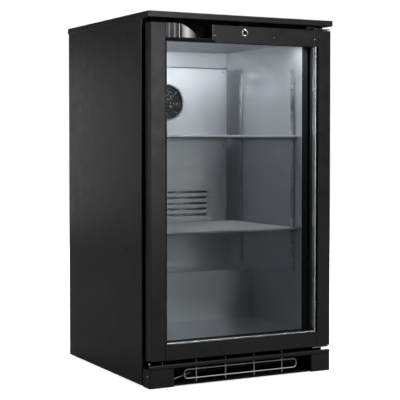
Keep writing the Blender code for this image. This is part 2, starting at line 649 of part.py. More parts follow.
def build_lamp(m):
    """A shallow channel under the ceiling, with a translucent cover in it."""
    top = CHAMBER_CEILING - GAP
    half, front, rear, wall = 0.2000, -0.1870, -0.1650, 0.0020
    housing = add("led_housing", block((-half, front, top - 0.0060), (half, rear, top)), m["white_plastic"])
    cut(housing, block((-half + wall, front + wall, top - OVERSHOOT),
                       (half - wall, rear - wall, top - wall)))
    wall += 0.0005
    add("led_diffuser", block((-half + wall, front + wall, top - 0.0066),
                              (half - wall, rear - wall, top - 0.0030)), m["lamp"])


def build_controls(m):
    """A box under the ceiling with a thermostat knob and a rocker switch."""
    box = add("control_housing", block((CONTROL_LEFT, CONTROL_FRONT, 0.8150),
                                       (CONTROL_RIGHT, 0.1300, CHAMBER_CEILING - GAP)),
              m["white_plastic"], edge=0.0015)
    cut(box, block((ROCKER.x - 0.0066, CONTROL_FRONT - OVERSHOOT, ROCKER.z - 0.0106),
                   (ROCKER.x + 0.0066, CONTROL_FRONT + 0.0050, ROCKER.z + 0.0106)))

    axis = pivot("thermostat_axis", KNOB)
    face = KNOB.y - GAP
    front = face - 0.0110
    profile = [(0, front), (0.0085, front), (0.0095, front + 0.0010), (0.0100, face - 0.0030),
               (0.0120, face - 0.0025), (0.0120, face), (0, face)]
    knob = add("thermostat_knob", turned("y", (KNOB.x, 0, KNOB.z), profile), m["white_plastic"], axis,
               KNOB, smooth=True)
    rib_half, rib_reach = 0.0012, 0.0080
    join(knob, block((KNOB.x - rib_half, front - 0.0018, KNOB.z - rib_reach),
                     (KNOB.x + rib_half, front + 0.0010, KNOB.z + rib_reach)))

    axis = pivot("light_switch_axis", ROCKER)
    outline = [(-0.0010, -0.0095), (0.0015, -0.0095), (0.0026, 0.0), (0.0015, 0.0095), (-0.0010, 0.0095),
               (-0.0032, 0.0095), (-0.0016, 0.0), (-0.0032, -0.0095)]
    outline = [(ROCKER.y + y, ROCKER.z + z) for y, z in outline]
    rocker = add("light_switch", prism("x", outline, ROCKER.x - 0.0060, ROCKER.x + 0.0060),
                 m["black_plastic"], axis, ROCKER)
    rocker.rotation_euler.x = math.radians(-ROCKER_TILT)


# ---- refrigeration machinery ----------------------------------------------------------------

def serpentine(passes, left, right, first, pitch, z):
    """The centre line of a flat coil: straight runs along X joined by half-circle bends."""
    radius = pitch / 2
    turns = [math.radians(-90 + 30 * s) for s in range(1, 6)]
    points = []
    for k in range(passes):
        y = first + k * pitch
        side, ends = (1, (left, right)) if k % 2 == 0 else (-1, (right, left))
        points += [Vector((x, y, z)) for x in ends]
        if k < passes - 1:
            points += [Vector((ends[1] + side * radius * math.cos(t), y + radius + radius * math.sin(t), z))
                       for t in turns]
    return points


def build_condenser(m):
    """A bare copper coil that lies just above the base pan."""
    points = serpentine(8, -0.160, 0.170, -0.1980, 0.036, 0.0220)
    curve = bpy.data.curves.new("condenser_coil", "CURVE")
    curve.dimensions = "3D"
    curve.bevel_depth = 0.0026
    curve.bevel_resolution = 1
    curve.use_fill_caps = True
    curve.resolution_u = 1
    spline = curve.splines.new("POLY")
    spline.points.add(len(points) - 1)
    for point, co in zip(spline.points, points):
        point.co = (*co, 1)
    curve.materials.append(m["copper"])
    coil = bpy.data.objects.new("condenser_coil", curve)
    bpy.context.scene.collection.objects.link(coil)


def build_machine(m):
    """The compressor, the condenser's fan, the drier and the mains inlet, at the rear."""
    stand = PAN_TOP + GAP
    r, seam, t = COMPRESSOR_RADIUS, COMPRESSOR_RADIUS + 0.003, COMPRESSOR_TOP
    profile = [(0, stand), (r * 0.75, stand), (r * 0.80, 0.020), (r, 0.028), (r, 0.088),
               (seam, 0.090), (seam, 0.097), (r, 0.099), (r, t - 0.026), (r * 0.88, t - 0.010),
               (r * 0.60, t - 0.002), (0, t)]
    add("compressor", turned("z", (COMPRESSOR_X, COMPRESSOR_Y, 0), profile, 28), m["black_paint"],
        smooth=True)

    plate, thick = MACHINE_FAN.x - 0.0040, 0.0020
    shroud = add("condenser_fan_shroud", block((plate, 0.1190, stand), (plate + thick, 0.2500, 0.1680)),
                 m["galvanised"])
    cut(shroud, rod("x", MACHINE_FAN, MACHINE_FAN_RADIUS + 0.004, plate - OVERSHOOT, plate + OVERSHOOT, 32))
    axis = pivot("condenser_fan_axis", MACHINE_FAN)
    wheel, blades = blade_wheel("x", MACHINE_FAN, MACHINE_FAN_RADIUS, 0.015, 0.0150)
    fan = add("condenser_fan", wheel, m["raw_aluminium"], axis, MACHINE_FAN)
    for blade in blades:
        join(fan, blade)

    x0 = MACHINE_FAN.x + 0.0165
    rear = x0 + 0.036
    profile = [(0, x0), (0.008, x0), (0.022, x0 + 0.004), (0.024, x0 + 0.010), (0.024, rear), (0, rear)]
    motor = add("condenser_fan_motor", turned("x", (0, MACHINE_FAN.y, MACHINE_FAN.z), profile),
                m["black_paint"], smooth=True)
    leg_half = 0.0160
    join(motor, block((x0 + 0.012, MACHINE_FAN.y - leg_half, stand),
                      (x0 + 0.016, MACHINE_FAN.y + leg_half, MACHINE_FAN.z)))

    pipe, can = 0.0030, 0.0090
    profile = [(0, 0.030), (pipe, 0.030), (pipe, 0.038), (can, 0.046), (can, 0.112), (pipe, 0.120),
               (pipe, 0.128), (0, 0.128)]
    add("filter_drier", turned("z", (0.0100, 0.2300, 0), profile, 20), m["copper"], smooth=True)


def build_inlet(m):
    """A mains inlet: a plate in the grille's notch, a raised flange and an open socket."""
    outside = BODY_HALF + 0.0010
    inside, edge = BODY_HALF - GAP - SHEET, BODY_HALF - PANEL_FOLD - 0.0005

    def around(across, up, y0, y1):
        return block((INLET_X - across, y0, INLET_Z - up), (INLET_X + across, y1, INLET_Z + up))

    inlet = add("power_inlet", block((INLET_PLATE_LEFT, inside, INLET_PLATE_LOW),
                                     (edge, BODY_HALF - GAP, GRILLE_TOP)), m["black_plastic"])
    join(inlet, around(0.0195, 0.0190, inside + GAP, outside))
    join(inlet, around(0.0145, 0.0115, 0.2380, outside - GAP))
    cut(inlet, around(0.0120, 0.0085, 0.2430, outside + OVERSHOOT))


# ---- assembly -------------------------------------------------------------------------------

def main():
    for old in list(bpy.data.objects):
        bpy.data.objects.remove(old, do_unlink=True)
    m = {
        "black_steel": paint("black_steel", (0.035, 0.032, 0.034), 0.45, 0.3),
        "black_aluminium": paint("black_aluminium", (0.045, 0.042, 0.045), 0.42, 0.3),
        "black_plastic": paint("black_plastic", (0.02, 0.02, 0.02), 0.6),
        "black_paint": paint("black_paint", (0.02, 0.02, 0.022), 0.35, 0.2),
        "white_plastic": paint("white_plastic", (0.75, 0.76, 0.78), 0.45),
        "galvanised": paint("galvanised", (0.45, 0.46, 0.47), 0.45, 0.9),
        "liner": paint("liner", (0.62, 0.65, 0.70), 0.38, 0.9),
        "raw_aluminium": paint("raw_aluminium", (0.6, 0.6, 0.62), 0.35, 0.9),
        "bright_steel": paint("bright_steel", (0.72, 0.72, 0.74), 0.25, 1.0),
        "chrome": paint("chrome", (0.85, 0.85, 0.86), 0.1, 1.0),
        "copper": paint("copper", (0.35, 0.17, 0.11), 0.4, 0.9),
        "rubber": paint("rubber", (0.015, 0.015, 0.015), 0.8),
        "foam": paint("foam", (0.75, 0.68, 0.45), 0.9),
        "glass": paint("glass", (0.85, 0.9, 0.9), 0.03, 0.0, 0.25),
        "lamp": paint("lamp", (0.95, 0.97, 1.0), 0.4),
    }
    door = pivot("door_axis", (HINGE_X, HINGE_Y, DOOR_BOTTOM))
    build_shell(m)
    build_liner(m)
    build_plinth(m)
    build_door(m, door)
    build_hinges(m, door)
    build_lock(m, door)
    build_shelves(m)
    build_chiller(m)
    build_lamp(m)
    build_controls(m)
    build_condenser(m)
    build_machine(m)
    build_inlet(m)


main()
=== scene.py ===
"""Looks of an undercounter bottle cooler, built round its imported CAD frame.

Metres, +Z up, and the door faces -Y. Places come from the CAD nodes' own boxes.
"""

import json
import math

import bmesh
import bpy
from mathutils import Matrix, Vector


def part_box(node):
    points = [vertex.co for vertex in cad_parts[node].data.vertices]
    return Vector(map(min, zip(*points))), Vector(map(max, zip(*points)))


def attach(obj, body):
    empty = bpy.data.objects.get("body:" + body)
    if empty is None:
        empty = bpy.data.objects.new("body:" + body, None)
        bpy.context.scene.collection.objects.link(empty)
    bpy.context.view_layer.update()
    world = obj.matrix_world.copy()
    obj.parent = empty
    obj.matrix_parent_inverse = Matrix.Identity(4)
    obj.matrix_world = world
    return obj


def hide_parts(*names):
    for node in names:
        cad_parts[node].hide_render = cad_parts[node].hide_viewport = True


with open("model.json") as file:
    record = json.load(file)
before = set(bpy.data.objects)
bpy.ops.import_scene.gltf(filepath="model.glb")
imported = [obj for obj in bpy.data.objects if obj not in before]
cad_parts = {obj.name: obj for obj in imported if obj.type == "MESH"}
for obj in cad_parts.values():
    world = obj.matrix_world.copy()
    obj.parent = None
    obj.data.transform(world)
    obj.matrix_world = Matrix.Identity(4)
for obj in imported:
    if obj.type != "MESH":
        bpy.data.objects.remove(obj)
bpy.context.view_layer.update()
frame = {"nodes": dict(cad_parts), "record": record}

CABINET, DOOR, LOCK = "cabinet", "door", "lock"

# ---- materials ----


def new_material(name):
    material = bpy.data.materials.new(name)
    material.use_nodes = True
    tree = material.node_tree
    return material, tree, tree.nodes["Principled BSDF"]


def own_coordinates(tree, texture):
    """Ties a texture to the object, so that it moves with it."""
    where = tree.nodes.new("ShaderNodeTexCoord")
    tree.links.new(where.outputs["Object"], texture.inputs[0])


def noise(tree, scale, detail=2.0, stretch=(1.0, 1.0, 1.0), distortion=0.0):
    """Noise that is fixed to the object, with scale in cycles a metre."""
    mapping = tree.nodes.new("ShaderNodeMapping")
    mapping.inputs["Scale"].default_value = stretch
    own_coordinates(tree, mapping)
    texture = tree.nodes.new("ShaderNodeTexNoise")
    texture.inputs["Scale"].default_value = scale
    texture.inputs["Detail"].default_value = detail
    texture.inputs["Distortion"].default_value = distortion
    tree.links.new(mapping.outputs[0], texture.inputs["Vector"])
    return texture.outputs[0]


def cells(tree, scale, smoothness=0.6, output="Distance"):
    """A pebbled cell pattern that is fixed to the object."""
    texture = tree.nodes.new("ShaderNodeTexVoronoi")
    own_coordinates(tree, texture)
    texture.feature = "SMOOTH_F1"
    texture.inputs["Scale"].default_value = scale
    texture.inputs["Smoothness"].default_value = smoothness
    return texture.outputs[output]


def between(tree, value, low, high, start=0.3, end=0.7):
    """A number from low to high as value goes from start to end."""
    spread = tree.nodes.new("ShaderNodeMapRange")
    for label, number in (("From Min", start), ("From Max", end), ("To Min", low), ("To Max", high)):
        spread.inputs[label].default_value = number
    tree.links.new(value, spread.inputs["Value"])
    return spread.outputs[0]


def blend_colours(tree, value, one, two, start=0.3, end=0.7):
    """A colour from one to two as value goes from start to end."""
    ramp = tree.nodes.new("ShaderNodeValToRGB")
    for element, place, colour in zip(ramp.color_ramp.elements, (start, end), (one, two)):
        element.position = place
        element.color = (*colour, 1.0)
    tree.links.new(value, ramp.inputs[0])
    return ramp.outputs[0]


def relief(tree, shader, value, depth, strength=1.0):
    """Raises the surface by up to depth metres where value is high."""
    bump = tree.nodes.new("ShaderNodeBump")
    bump.inputs["Distance"].default_value = depth
    bump.inputs["Strength"].default_value = strength
    tree.links.new(value, bump.inputs["Height"])
    previous = shader.inputs["Normal"]
    if previous.is_linked:
        tree.links.new(previous.links[0].from_socket, bump.inputs["Normal"])
    tree.links.new(bump.outputs[0], previous)


def surface_mix(tree, output, factor, one, two):
    """Sends one shader, or the other as factor grows, to the output node."""
    mix = tree.nodes.new("ShaderNodeMixShader")
    for place, value in enumerate((factor, one.outputs[0], two.outputs[0])):
        tree.links.new(value, mix.inputs[place])
    tree.links.new(mix.outputs[0], tree.nodes[output].inputs["Surface"])


def feed(tree, shader, label, value):
    tree.links.new(value, shader.inputs[label])


def shade(colour, factor):
    return tuple(min(1.0, c * factor) for c in colour)


def finish(name, colour, rough, metallic=0.0, tone=0.10, specular=0.5, patches=14.0):
    """The part that all finishes share: a drifting tone and an uneven gloss."""
    material, tree, shader = new_material(name)
    drift = noise(tree, patches, detail=4.0)
    colours = blend_colours(tree, drift, shade(colour, 1 - tone), shade(colour, 1 + tone))
    feed(tree, shader, "Base Color", colours)
    feed(tree, shader, "Roughness", between(tree, noise(tree, 2.6 * patches, detail=5.0), *rough))
    shader.inputs["Metallic"].default_value = metallic
    shader.inputs["Specular IOR Level"].default_value = specular
    return material, tree, shader


def powder_coat(name, colour, rough, specular, peel=0.00002):
    """Black paint on steel sheet, with a fine orange peel."""
    material, tree, shader = finish(name, colour, rough, tone=0.16, specular=specular)
    relief(tree, shader, noise(tree, 850.0, detail=2.0), peel)
    relief(tree, shader, noise(tree, 3200.0, detail=1.0), peel * 0.4)
    return material


def anodised(name, colour, rough, specular):
    """A black extrusion: faint die lines along its length under a satin coat."""
    material, tree, shader = finish(name, colour, rough, metallic=0.0, tone=0.12, specular=specular)
    relief(tree, shader, noise(tree, 60.0, detail=3.0, stretch=(40.0, 40.0, 0.6)), 0.00001)
    relief(tree, shader, noise(tree, 2600.0, detail=1.0), 0.000008)
    return material


def moulded(name, colour, rough, grain=0.00003, tone=0.08, specular=0.4):
    """Injection-moulded plastic or rubber with a fine spark-eroded grain."""
    material, tree, shader = finish(name, colour, rough, tone=tone, specular=specular)
    relief(tree, shader, noise(tree, 1800.0, detail=3.0), grain)
    return material


def brushed(name, colour, rough, stretch, depth=0.00001, tone=0.08):
    """Metal that is drawn or brushed in one direction."""
    material, tree, shader = finish(name, colour, rough, metallic=1.0, tone=tone)
    relief(tree, shader, noise(tree, 120.0, detail=4.0, stretch=stretch), depth)
    return material


def stucco(name, colour, rough):
    """Embossed aluminium sheet: small rounded pebbles between shallow creases."""
    material, tree, shader = finish(name, colour, rough, metallic=0.85, tone=0.07, patches=6.0)
    relief(tree, shader, cells(tree, 210.0), 0.00045, 0.75)
    relief(tree, shader, noise(tree, 420.0, detail=2.0, distortion=1.2), 0.00025, 0.6)
    return material


def spangled(name, colour, rough):
    """Galvanised sheet, with the pale and dark crystals of the zinc."""
    material, tree, shader = new_material(name)
    crystals = cells(tree, 95.0, 0.15, "Color")
    colours = blend_colours(tree, crystals, shade(colour, 0.78), shade(colour, 1.15), 0.2, 0.8)
    feed(tree, shader, "Base Color", colours)
    feed(tree, shader, "Roughness", between(tree, noise(tree, 70.0, detail=3.0), *rough))
    shader.inputs["Metallic"].default_value = 0.9
    relief(tree, shader, noise(tree, 600.0, detail=2.0), 0.00001)
    return material


def tarnished(name, colour, dark, rough):
    """Copper pipe with brown patches where the air has dulled it."""
    material, tree, shader = finish(name, colour, rough, metallic=0.95)
    colours = blend_colours(tree, noise(tree, 45.0, detail=6.0), dark, colour, 0.38, 0.62)
    feed(tree, shader, "Base Color", colours)
    relief(tree, shader, noise(tree, 900.0), 0.00002)
    return material


def clear_glass(name, tint):
    """A clear pane: straight through, with a reflection that grows at a glancing angle."""
    material, tree, shader = new_material(name)
    clear = tree.nodes.new("ShaderNodeBsdfTransparent")
    clear.inputs[0].default_value = (*tint, 1.0)
    shader.inputs["Base Color"].default_value = (0.02, 0.03, 0.03, 1.0)
    feed(tree, shader, "Roughness", between(tree, noise(tree, 9.0, detail=3.0), 0.015, 0.05))
    facing = tree.nodes.new("ShaderNodeLayerWeight")
    facing.inputs["Blend"].default_value = 0.22
    glancing = between(tree, facing.outputs["Fresnel"], 0.02, 0.55, 0.0, 1.0)
    surface_mix(tree, "Material Output", glancing, clear, shader)
    shader.inputs["Specular IOR Level"].default_value = 1.0
    return material


def glowing(name, colour, strength):
    """The lamp's translucent cover, a little brighter over each diode."""
    material, tree, shader = finish(name, colour, (0.3, 0.45), tone=0.02)
    shader.inputs["Emission Color"].default_value = (0.90, 0.96, 1.0, 1.0)
    wave = tree.nodes.new("ShaderNodeTexWave")
    own_coordinates(tree, wave)
    wave.bands_direction = "X"
    wave.inputs["Scale"].default_value = 9.0
    bands = between(tree, wave.outputs[1], 0.7 * strength, 1.2 * strength, 0.0, 1.0)
    feed(tree, shader, "Emission Strength", bands)
    return material


LOOKS = {
    "black_steel": powder_coat("black_steel", (0.019, 0.018, 0.019), (0.27, 0.37), 0.42),
    "black_aluminium": anodised("black_aluminium", (0.021, 0.020, 0.021), (0.27, 0.37), 0.45),
    "matt_black": moulded("matt_black", (0.007, 0.007, 0.007), (0.65, 0.80), specular=0.15),
    "black_plastic": moulded("black_plastic", (0.014, 0.014, 0.015), (0.45, 0.62)),
    "grey_plastic": moulded("grey_plastic", (0.060, 0.060, 0.066), (0.30, 0.45)),
    "black_paint": powder_coat("black_paint", (0.016, 0.016, 0.017), (0.22, 0.34), 0.5, 0.00004),
    "white_plastic": moulded("white_plastic", (0.74, 0.76, 0.78), (0.34, 0.48), 0.00001, 0.02),
    "galvanised": spangled("galvanised", (0.50, 0.52, 0.54), (0.30, 0.52)),
    "liner": stucco("liner", (0.68, 0.69, 0.72), (0.30, 0.44)),
    "raw_aluminium": brushed("raw_aluminium", (0.66, 0.67, 0.69), (0.28, 0.45), (1.0, 1.0, 14.0)),
    "bright_steel": brushed("bright_steel", (0.72, 0.72, 0.74), (0.16, 0.30), (1.0, 9.0, 1.0)),
    "chrome": brushed("chrome", (0.84, 0.85, 0.87), (0.04, 0.12), (1.0, 1.0, 1.0), 0.000004, 0.03),
    "dull_steel": brushed("dull_steel", (0.30, 0.30, 0.31), (0.42, 0.60), (1.0, 1.0, 9.0)),
    "satin_steel": brushed("satin_steel", (0.62, 0.62, 0.63), (0.34, 0.48), (1.0, 1.0, 9.0)),
    "zinc_wire": finish("zinc_wire", (0.66, 0.66, 0.67), (0.36, 0.52), 0.50, 0.06)[0],
    "copper": tarnished("copper", (0.48, 0.22, 0.13), (0.16, 0.08, 0.05), (0.30, 0.50)),
    # Painted shade: a copper about four times darker than the copper lines, so that the condenser tube stays
    # dim in the shade of the machine space under the door; its brown patches are tarnish.
    "shade_darkened_copper": tarnished("shade_darkened_copper", (0.11, 0.060, 0.045), (0.035, 0.024, 0.022), (0.45, 0.65)),
    "rubber": moulded("rubber", (0.012, 0.012, 0.012), (0.60, 0.80), 0.00004, 0.1, 0.3),
    "foam": moulded("foam", (0.72, 0.62, 0.38), (0.80, 0.95), 0.0006, 0.12, 0.1),
    "glass": clear_glass("glass", (0.965, 0.972, 0.970)),
    "lamp": glowing("lamp", (0.92, 0.95, 1.0), 2.6),
}

# ---- mesh helpers ----

PLANES = {"x": (1, 2, 0), "y": (0, 2, 1), "z": (0, 1, 2)}


def at(axis, a, b, along):
    """The point with plane coordinates a, b and the given distance along the axis."""
    point = [0.0, 0.0, 0.0]
    for place, value in zip(PLANES[axis], (a, b, along)):
        point[place] = value
    return Vector(point)


def arc(a, b, radius, start, end, steps=5):
    """Points on a circle round (a, b), from one angle to another in degrees."""
    turns = [math.radians(start + (end - start) * k / steps) for k in range(steps + 1)]
    return [(a + radius * math.cos(t), b + radius * math.sin(t)) for t in turns]


def circle(a, b, radius, steps=24):
    return arc(a, b, radius, 0, 360, steps)[:-1]


def rounded(a0, b0, a1, b1, radius, steps=4):
    """A rectangle with round corners, as an outline."""
    corners = ((a1, b1, 0), (a0, b1, 90), (a0, b0, 180), (a1, b0, 270))
    outline = []
    for a, b, start in corners:
        centre_a = a - radius if a == a1 else a + radius
        centre_b = b - radius if b == b1 else b + radius
        outline += arc(centre_a, centre_b, radius, start, start + 90, steps)
    return outline


def plate(axis, outline, low, high, holes=()):
    """A flat plate with any outline and any holes through it."""
    bm = bmesh.new()
    layers = []
    for along in (low, high):
        edges, loops = [], []
        for loop in (outline, *holes):
            verts = [bm.verts.new(at(axis, a, b, along)) for a, b in loop]
            edges += [bm.edges.new((verts[i - 1], verts[i])) for i in range(len(verts))]
            loops.append(verts)
        bmesh.ops.triangle_fill(bm, use_beauty=True, edges=edges)
        layers.append(loops)
    for under, over in zip(*layers):
        for i in range(len(under)):
            bm.faces.new((under[i - 1], under[i], over[i], over[i - 1]))
    return bm


def slab(low, high, radius=0.0008, steps=3):
    """A box between two corners with every edge rounded."""
    bm = bmesh.new()
    bmesh.ops.create_cube(bm, size=1.0)
    low, high = Vector(low), Vector(high)
    size = high - low
    bmesh.ops.scale(bm, vec=size, verts=bm.verts)
    bmesh.ops.translate(bm, vec=(low + high) / 2, verts=bm.verts)
    radius = min(radius, min(size) * 0.45)
    bmesh.ops.bevel(bm, geom=bm.edges[:], offset=radius, segments=steps, profile=0.5, affect="EDGES")
    return bm


def lathe(axis, centre, profile, segments=32, tube=False):
    """A solid of revolution from (radius, distance along the axis) points."""
    bm = bmesh.new()
    rings = []
    for radius, along in profile:
        if radius == 0:
            rings.append([bm.verts.new(at(axis, 0, 0, along))])
        else:
            rings.append([bm.verts.new(at(axis, a, b, along)) for a, b in circle(0, 0, radius, segments)])
    pairs = list(zip(rings, rings[1:]))
    if tube:
        pairs.append((rings[-1], rings[0]))
    for one, two in pairs:
        for k in range(segments):
            n = (k + 1) % segments
            corners = [one[k % len(one)], two[k % len(two)], two[n % len(two)], one[n % len(one)]]
            bm.faces.new(list(dict.fromkeys(corners)))
    bm.transform(Matrix.Translation(Vector(centre)))
    return bm


def ring(profile, left, right, low, high):
    """A mitred frame round a rectangle, from (outward offset, y) points."""
    bm = bmesh.new()
    corners = []
    for sx, sz, x, z in ((-1, -1, left, low), (1, -1, right, low), (1, 1, right, high), (-1, 1, left, high)):
        corners.append([bm.verts.new((x + sx * u, y, z + sz * u)) for u, y in profile])
    for c in range(4):
        here, there = corners[c], corners[(c + 1) % 4]
        for i in range(len(profile)):
            bm.faces.new((here[i - 1], there[i - 1], there[i], here[i]))
    return bm


def bend(points, radius, steps=5, closed=False):
    """The same path with each corner turned into an arc of the given radius."""
    points = [Vector(p) for p in points]
    path = []
    for i, corner in enumerate(points):
        if not closed and i in (0, len(points) - 1):
            path.append(corner)
            continue
        before, after = points[i - 1] - corner, points[(i + 1) % len(points)] - corner
        half = before.angle(after) / 2
        reach = min(radius / math.tan(half), 0.49 * before.length, 0.49 * after.length)
        start, end = corner + before.normalized() * reach, corner + after.normalized() * reach
        for k in range(steps + 1):
            t = k / steps
            path.append((1 - t) ** 2 * start + 2 * t * (1 - t) * corner + t * t * end)
    return path


def wire(points, radius, sides=8, closed=False):
    """A round bar along a path, with domed ends unless it is closed."""
    points = [Vector(p) for p in points]
    count = len(points)
    stations = []
    for i, point in enumerate(points):
        before = points[i - 1] if i or closed else point
        after = points[(i + 1) % count] if i < count - 1 or closed else point
        stations.append((point, (after - before).normalized(), radius))
    if not closed:
        first, direct = stations[0][:2]
        last, onward = stations[-1][:2]
        dome = 0.45 * radius
        stations.insert(0, (first - direct * dome, direct, 0.55 * radius))
        stations.append((last + onward * dome, onward, 0.55 * radius))
    bm = bmesh.new()
    rings, normal = [], None
    for point, along, size in stations:
        if normal is None:
            normal = along.orthogonal().normalized()
        normal = (normal - along * normal.dot(along)).normalized()
        other = along.cross(normal)
        rings.append([bm.verts.new(point + normal * a + other * b) for a, b in circle(0, 0, size, sides)])
    pairs = list(zip(rings, rings[1:]))
    if closed:
        pairs.append((rings[-1], rings[0]))
    for one, two in pairs:
        shift = 0
        if closed and one is rings[-1]:
            shift = min(range(sides), key=lambda s: (one[0].co - two[s].co).length)
        for k in range(sides):
            n = (k + 1) % sides
            bm.faces.new((one[k], one[n], two[(n + shift) % sides], two[(k + shift) % sides]))
    if not closed:
        bm.faces.new(rings[0][::-1])
        bm.faces.new(rings[-1])
    return bm


def as_mesh(name, shape):
    mesh = bpy.data.meshes.new(name)
    shape.to_mesh(mesh)
    shape.free()
    return mesh


def put_in_scene(name, data):
    obj = bpy.data.objects.new(name, data)
    bpy.context.scene.collection.objects.link(obj)
    return obj


def combine(*shapes):
    """Several shapes as one."""
    whole = bmesh.new()
    for shape in shapes:
        mesh = as_mesh("shape", shape)
        whole.from_mesh(mesh)
        bpy.data.meshes.remove(mesh)
    return whole


def turned_to(shape, centre, direction):
    """Stands a shape that was built up +Z from the origin at a place, facing a direction."""
    spin = Vector(direction).to_track_quat("Z", "Y").to_matrix().to_4x4()
    shape.transform(Matrix.Translation(Vector(centre)) @ spin)
    return shape


def piece(name, shape, look, body, stands_for=(), angle=32):
    """One visible piece, which rides on a CAD body and may stand for CAD nodes."""
    bmesh.ops.recalc_face_normals(shape, faces=shape.faces)
    mesh = as_mesh(name, shape)
    mesh.materials.append(LOOKS[look])
    mesh.shade_smooth()
    mesh.set_sharp_from_angle(angle=math.radians(angle))
    obj = put_in_scene(name, mesh)
    weighted = obj.modifiers.new("flat_faces_stay_flat", "WEIGHTED_NORMAL")
    weighted.keep_sharp = True
    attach(obj, body)
    if stands_for:
        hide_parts(*stands_for)
    return obj


def screw(centre, direction, radius=0.0035):
    """A pan-head screw with a cross recess."""
    height, flat, arm, slot = 0.55 * radius, 0.62 * radius, 0.46 * radius, 0.11 * radius
    rim = [(radius, 0), (radius, 0.35 * height), (0.86 * radius, 0.80 * height), (flat, height)]
    head = lathe("z", (0, 0, 0), rim, 20)
    cross = [(slot, slot), (slot, arm), (-slot, arm), (-slot, slot), (-arm, slot), (-arm, -slot),
             (-slot, -slot), (-slot, -arm), (slot, -arm), (slot, -slot), (arm, -slot), (arm, slot)]
    face = plate("z", circle(0, 0, flat, 20), 0.45 * height, height, [cross])
    floor = plate("z", circle(0, 0, flat, 20), 0, 0.45 * height)
    return turned_to(combine(head, face, floor), centre, direction)


def fixings(name, places, direction, radius, look="bright_steel", body=CABINET):
    """Equal screws at several places, as one piece."""
    piece(name, combine(*[screw(place, direction, radius) for place in places]), look, body)


def spots(xs, y, zs):
    return [(x, y, z) for x in xs for z in zs]


def foot_of_axis(name, axis):
    """The middle of a CAD node, moved along the axis to 0, for a profile in real coordinates."""
    low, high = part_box(name)
    point = (low + high) / 2
    point[PLANES[axis][2]] = 0
    return point


FRONT, BACK, LEFT, RIGHT = (0, -1, 0), (0, 1, 0), (-1, 0, 0), (1, 0, 0)

# ---- CAD nodes that keep their shape ----

for entry in frame["record"]["subparts"]:
    node = frame["nodes"][entry["node"]]
    node.data.materials.clear()
    node.data.materials.append(LOOKS[entry["material_slot"]])
for name in ("lock_keeper", "base_pan"):
    frame["nodes"][name].data.materials[0] = LOOKS["matt_black"]

# ---- outer shell ----


def side_panels():
    """Folded sheets with a round hem at the front and a rounded rear corner."""
    sheet, hem, corner = 0.0012, 0.0020, 0.0030
    for side, name in ((-1, "side_panel_left"), (1, "side_panel_right")):
        low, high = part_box(name)
        outer = max(abs(low.x), abs(high.x))
        inner = min(abs(low.x), abs(high.x))
        front, back = low.y, high.y
        outline = arc(outer - hem, front + hem, hem, 0, -90) + [(outer - hem - 0.0018, front)]
        outline += [(outer - hem - 0.0018, front + sheet)]
        outline += arc(outer - hem, front + hem, hem - sheet, -90, 0)
        outline += arc(outer - corner, back - corner, corner - sheet, 0, 90)
        outline += [(inner, back - sheet), (inner, back)]
        outline += arc(outer - corner, back - corner, corner, 90, 0)
        shape = plate("z", [(side * x, y) for x, y in outline], low.z, high.z)
        piece(name + "_sheet", shape, "black_steel", CABINET, [name])


def back_sheets():
    """The rear sheet with a pressed stiffening bead, the slotted lower grille and their screws."""
    low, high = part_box("back_panel")
    margin, bead = 0.045, 0.008
    a0, a1, b0, b1 = low.x + margin, high.x - margin, low.z + margin, high.z - margin
    profile = [(0.0, high.y), (0.3 * bead, high.y + 0.0008), (0.7 * bead, high.y + 0.0008), (bead, high.y),
               (bead, low.y + 0.0002), (0.0, low.y + 0.0002)]
    sheet = plate("y", rounded(low.x, low.z, high.x, high.z, 0.002), low.y, high.y)
    piece("back_panel_sheet", combine(sheet, ring(profile, a0, a1, b0, b1)), "galvanised", CABINET,
          ["back_panel"])

    g_low, g_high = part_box("rear_grille")
    i_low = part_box("power_inlet")[0]
    notch_x, notch_z = i_low.x - 0.0005, i_low.z - 0.0005
    rows, slot_half = 13, 0.0040
    pitch = (g_high.z - g_low.z - 0.0085) / rows
    holes = []
    for k in range(rows):
        z = g_low.z + 0.0085 + slot_half + pitch * k
        right = 0.220 if z < notch_z - 0.004 else notch_x - 0.008
        for x0, x1 in ((-0.220, -0.010), (0.010, right)):
            right_end = arc(x1 - slot_half, z, slot_half, -90, 90)
            holes.append(right_end + arc(x0 + slot_half, z, slot_half, 90, 270))
    outline = [(g_low.x, g_low.z), (g_high.x, g_low.z), (g_high.x, notch_z), (notch_x, notch_z),
               (notch_x, g_high.z), (g_low.x, g_high.z)]
    grille = plate("y", outline, g_low.y, g_high.y, holes)
    piece("rear_grille_sheet", grille, "galvanised", CABINET, ["rear_grille"])
    foam_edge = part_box("foam_insulation")[1].y
    lining = plate("y", rounded(-0.224, 0.2035, 0.224, g_high.z, 0.002), foam_edge, g_low.y - 0.00002)
    piece("foam_lining", lining, "matt_black", CABINET)

    inset, half_way = 0.010, (low.z + high.z) / 2
    places = [(x, high.y, z) for x in (low.x + inset, 0.0, high.x - inset)
              for z in (low.z + inset, half_way, high.z - inset) if x or z != half_way]
    places += [(x, high.y, z) for x in (g_low.x + inset, g_high.x - inset)
               for z in (g_low.z + inset, g_high.z - inset) if x < 0 or z < notch_z]
    fixings("back_screws", places, BACK, 0.0032)


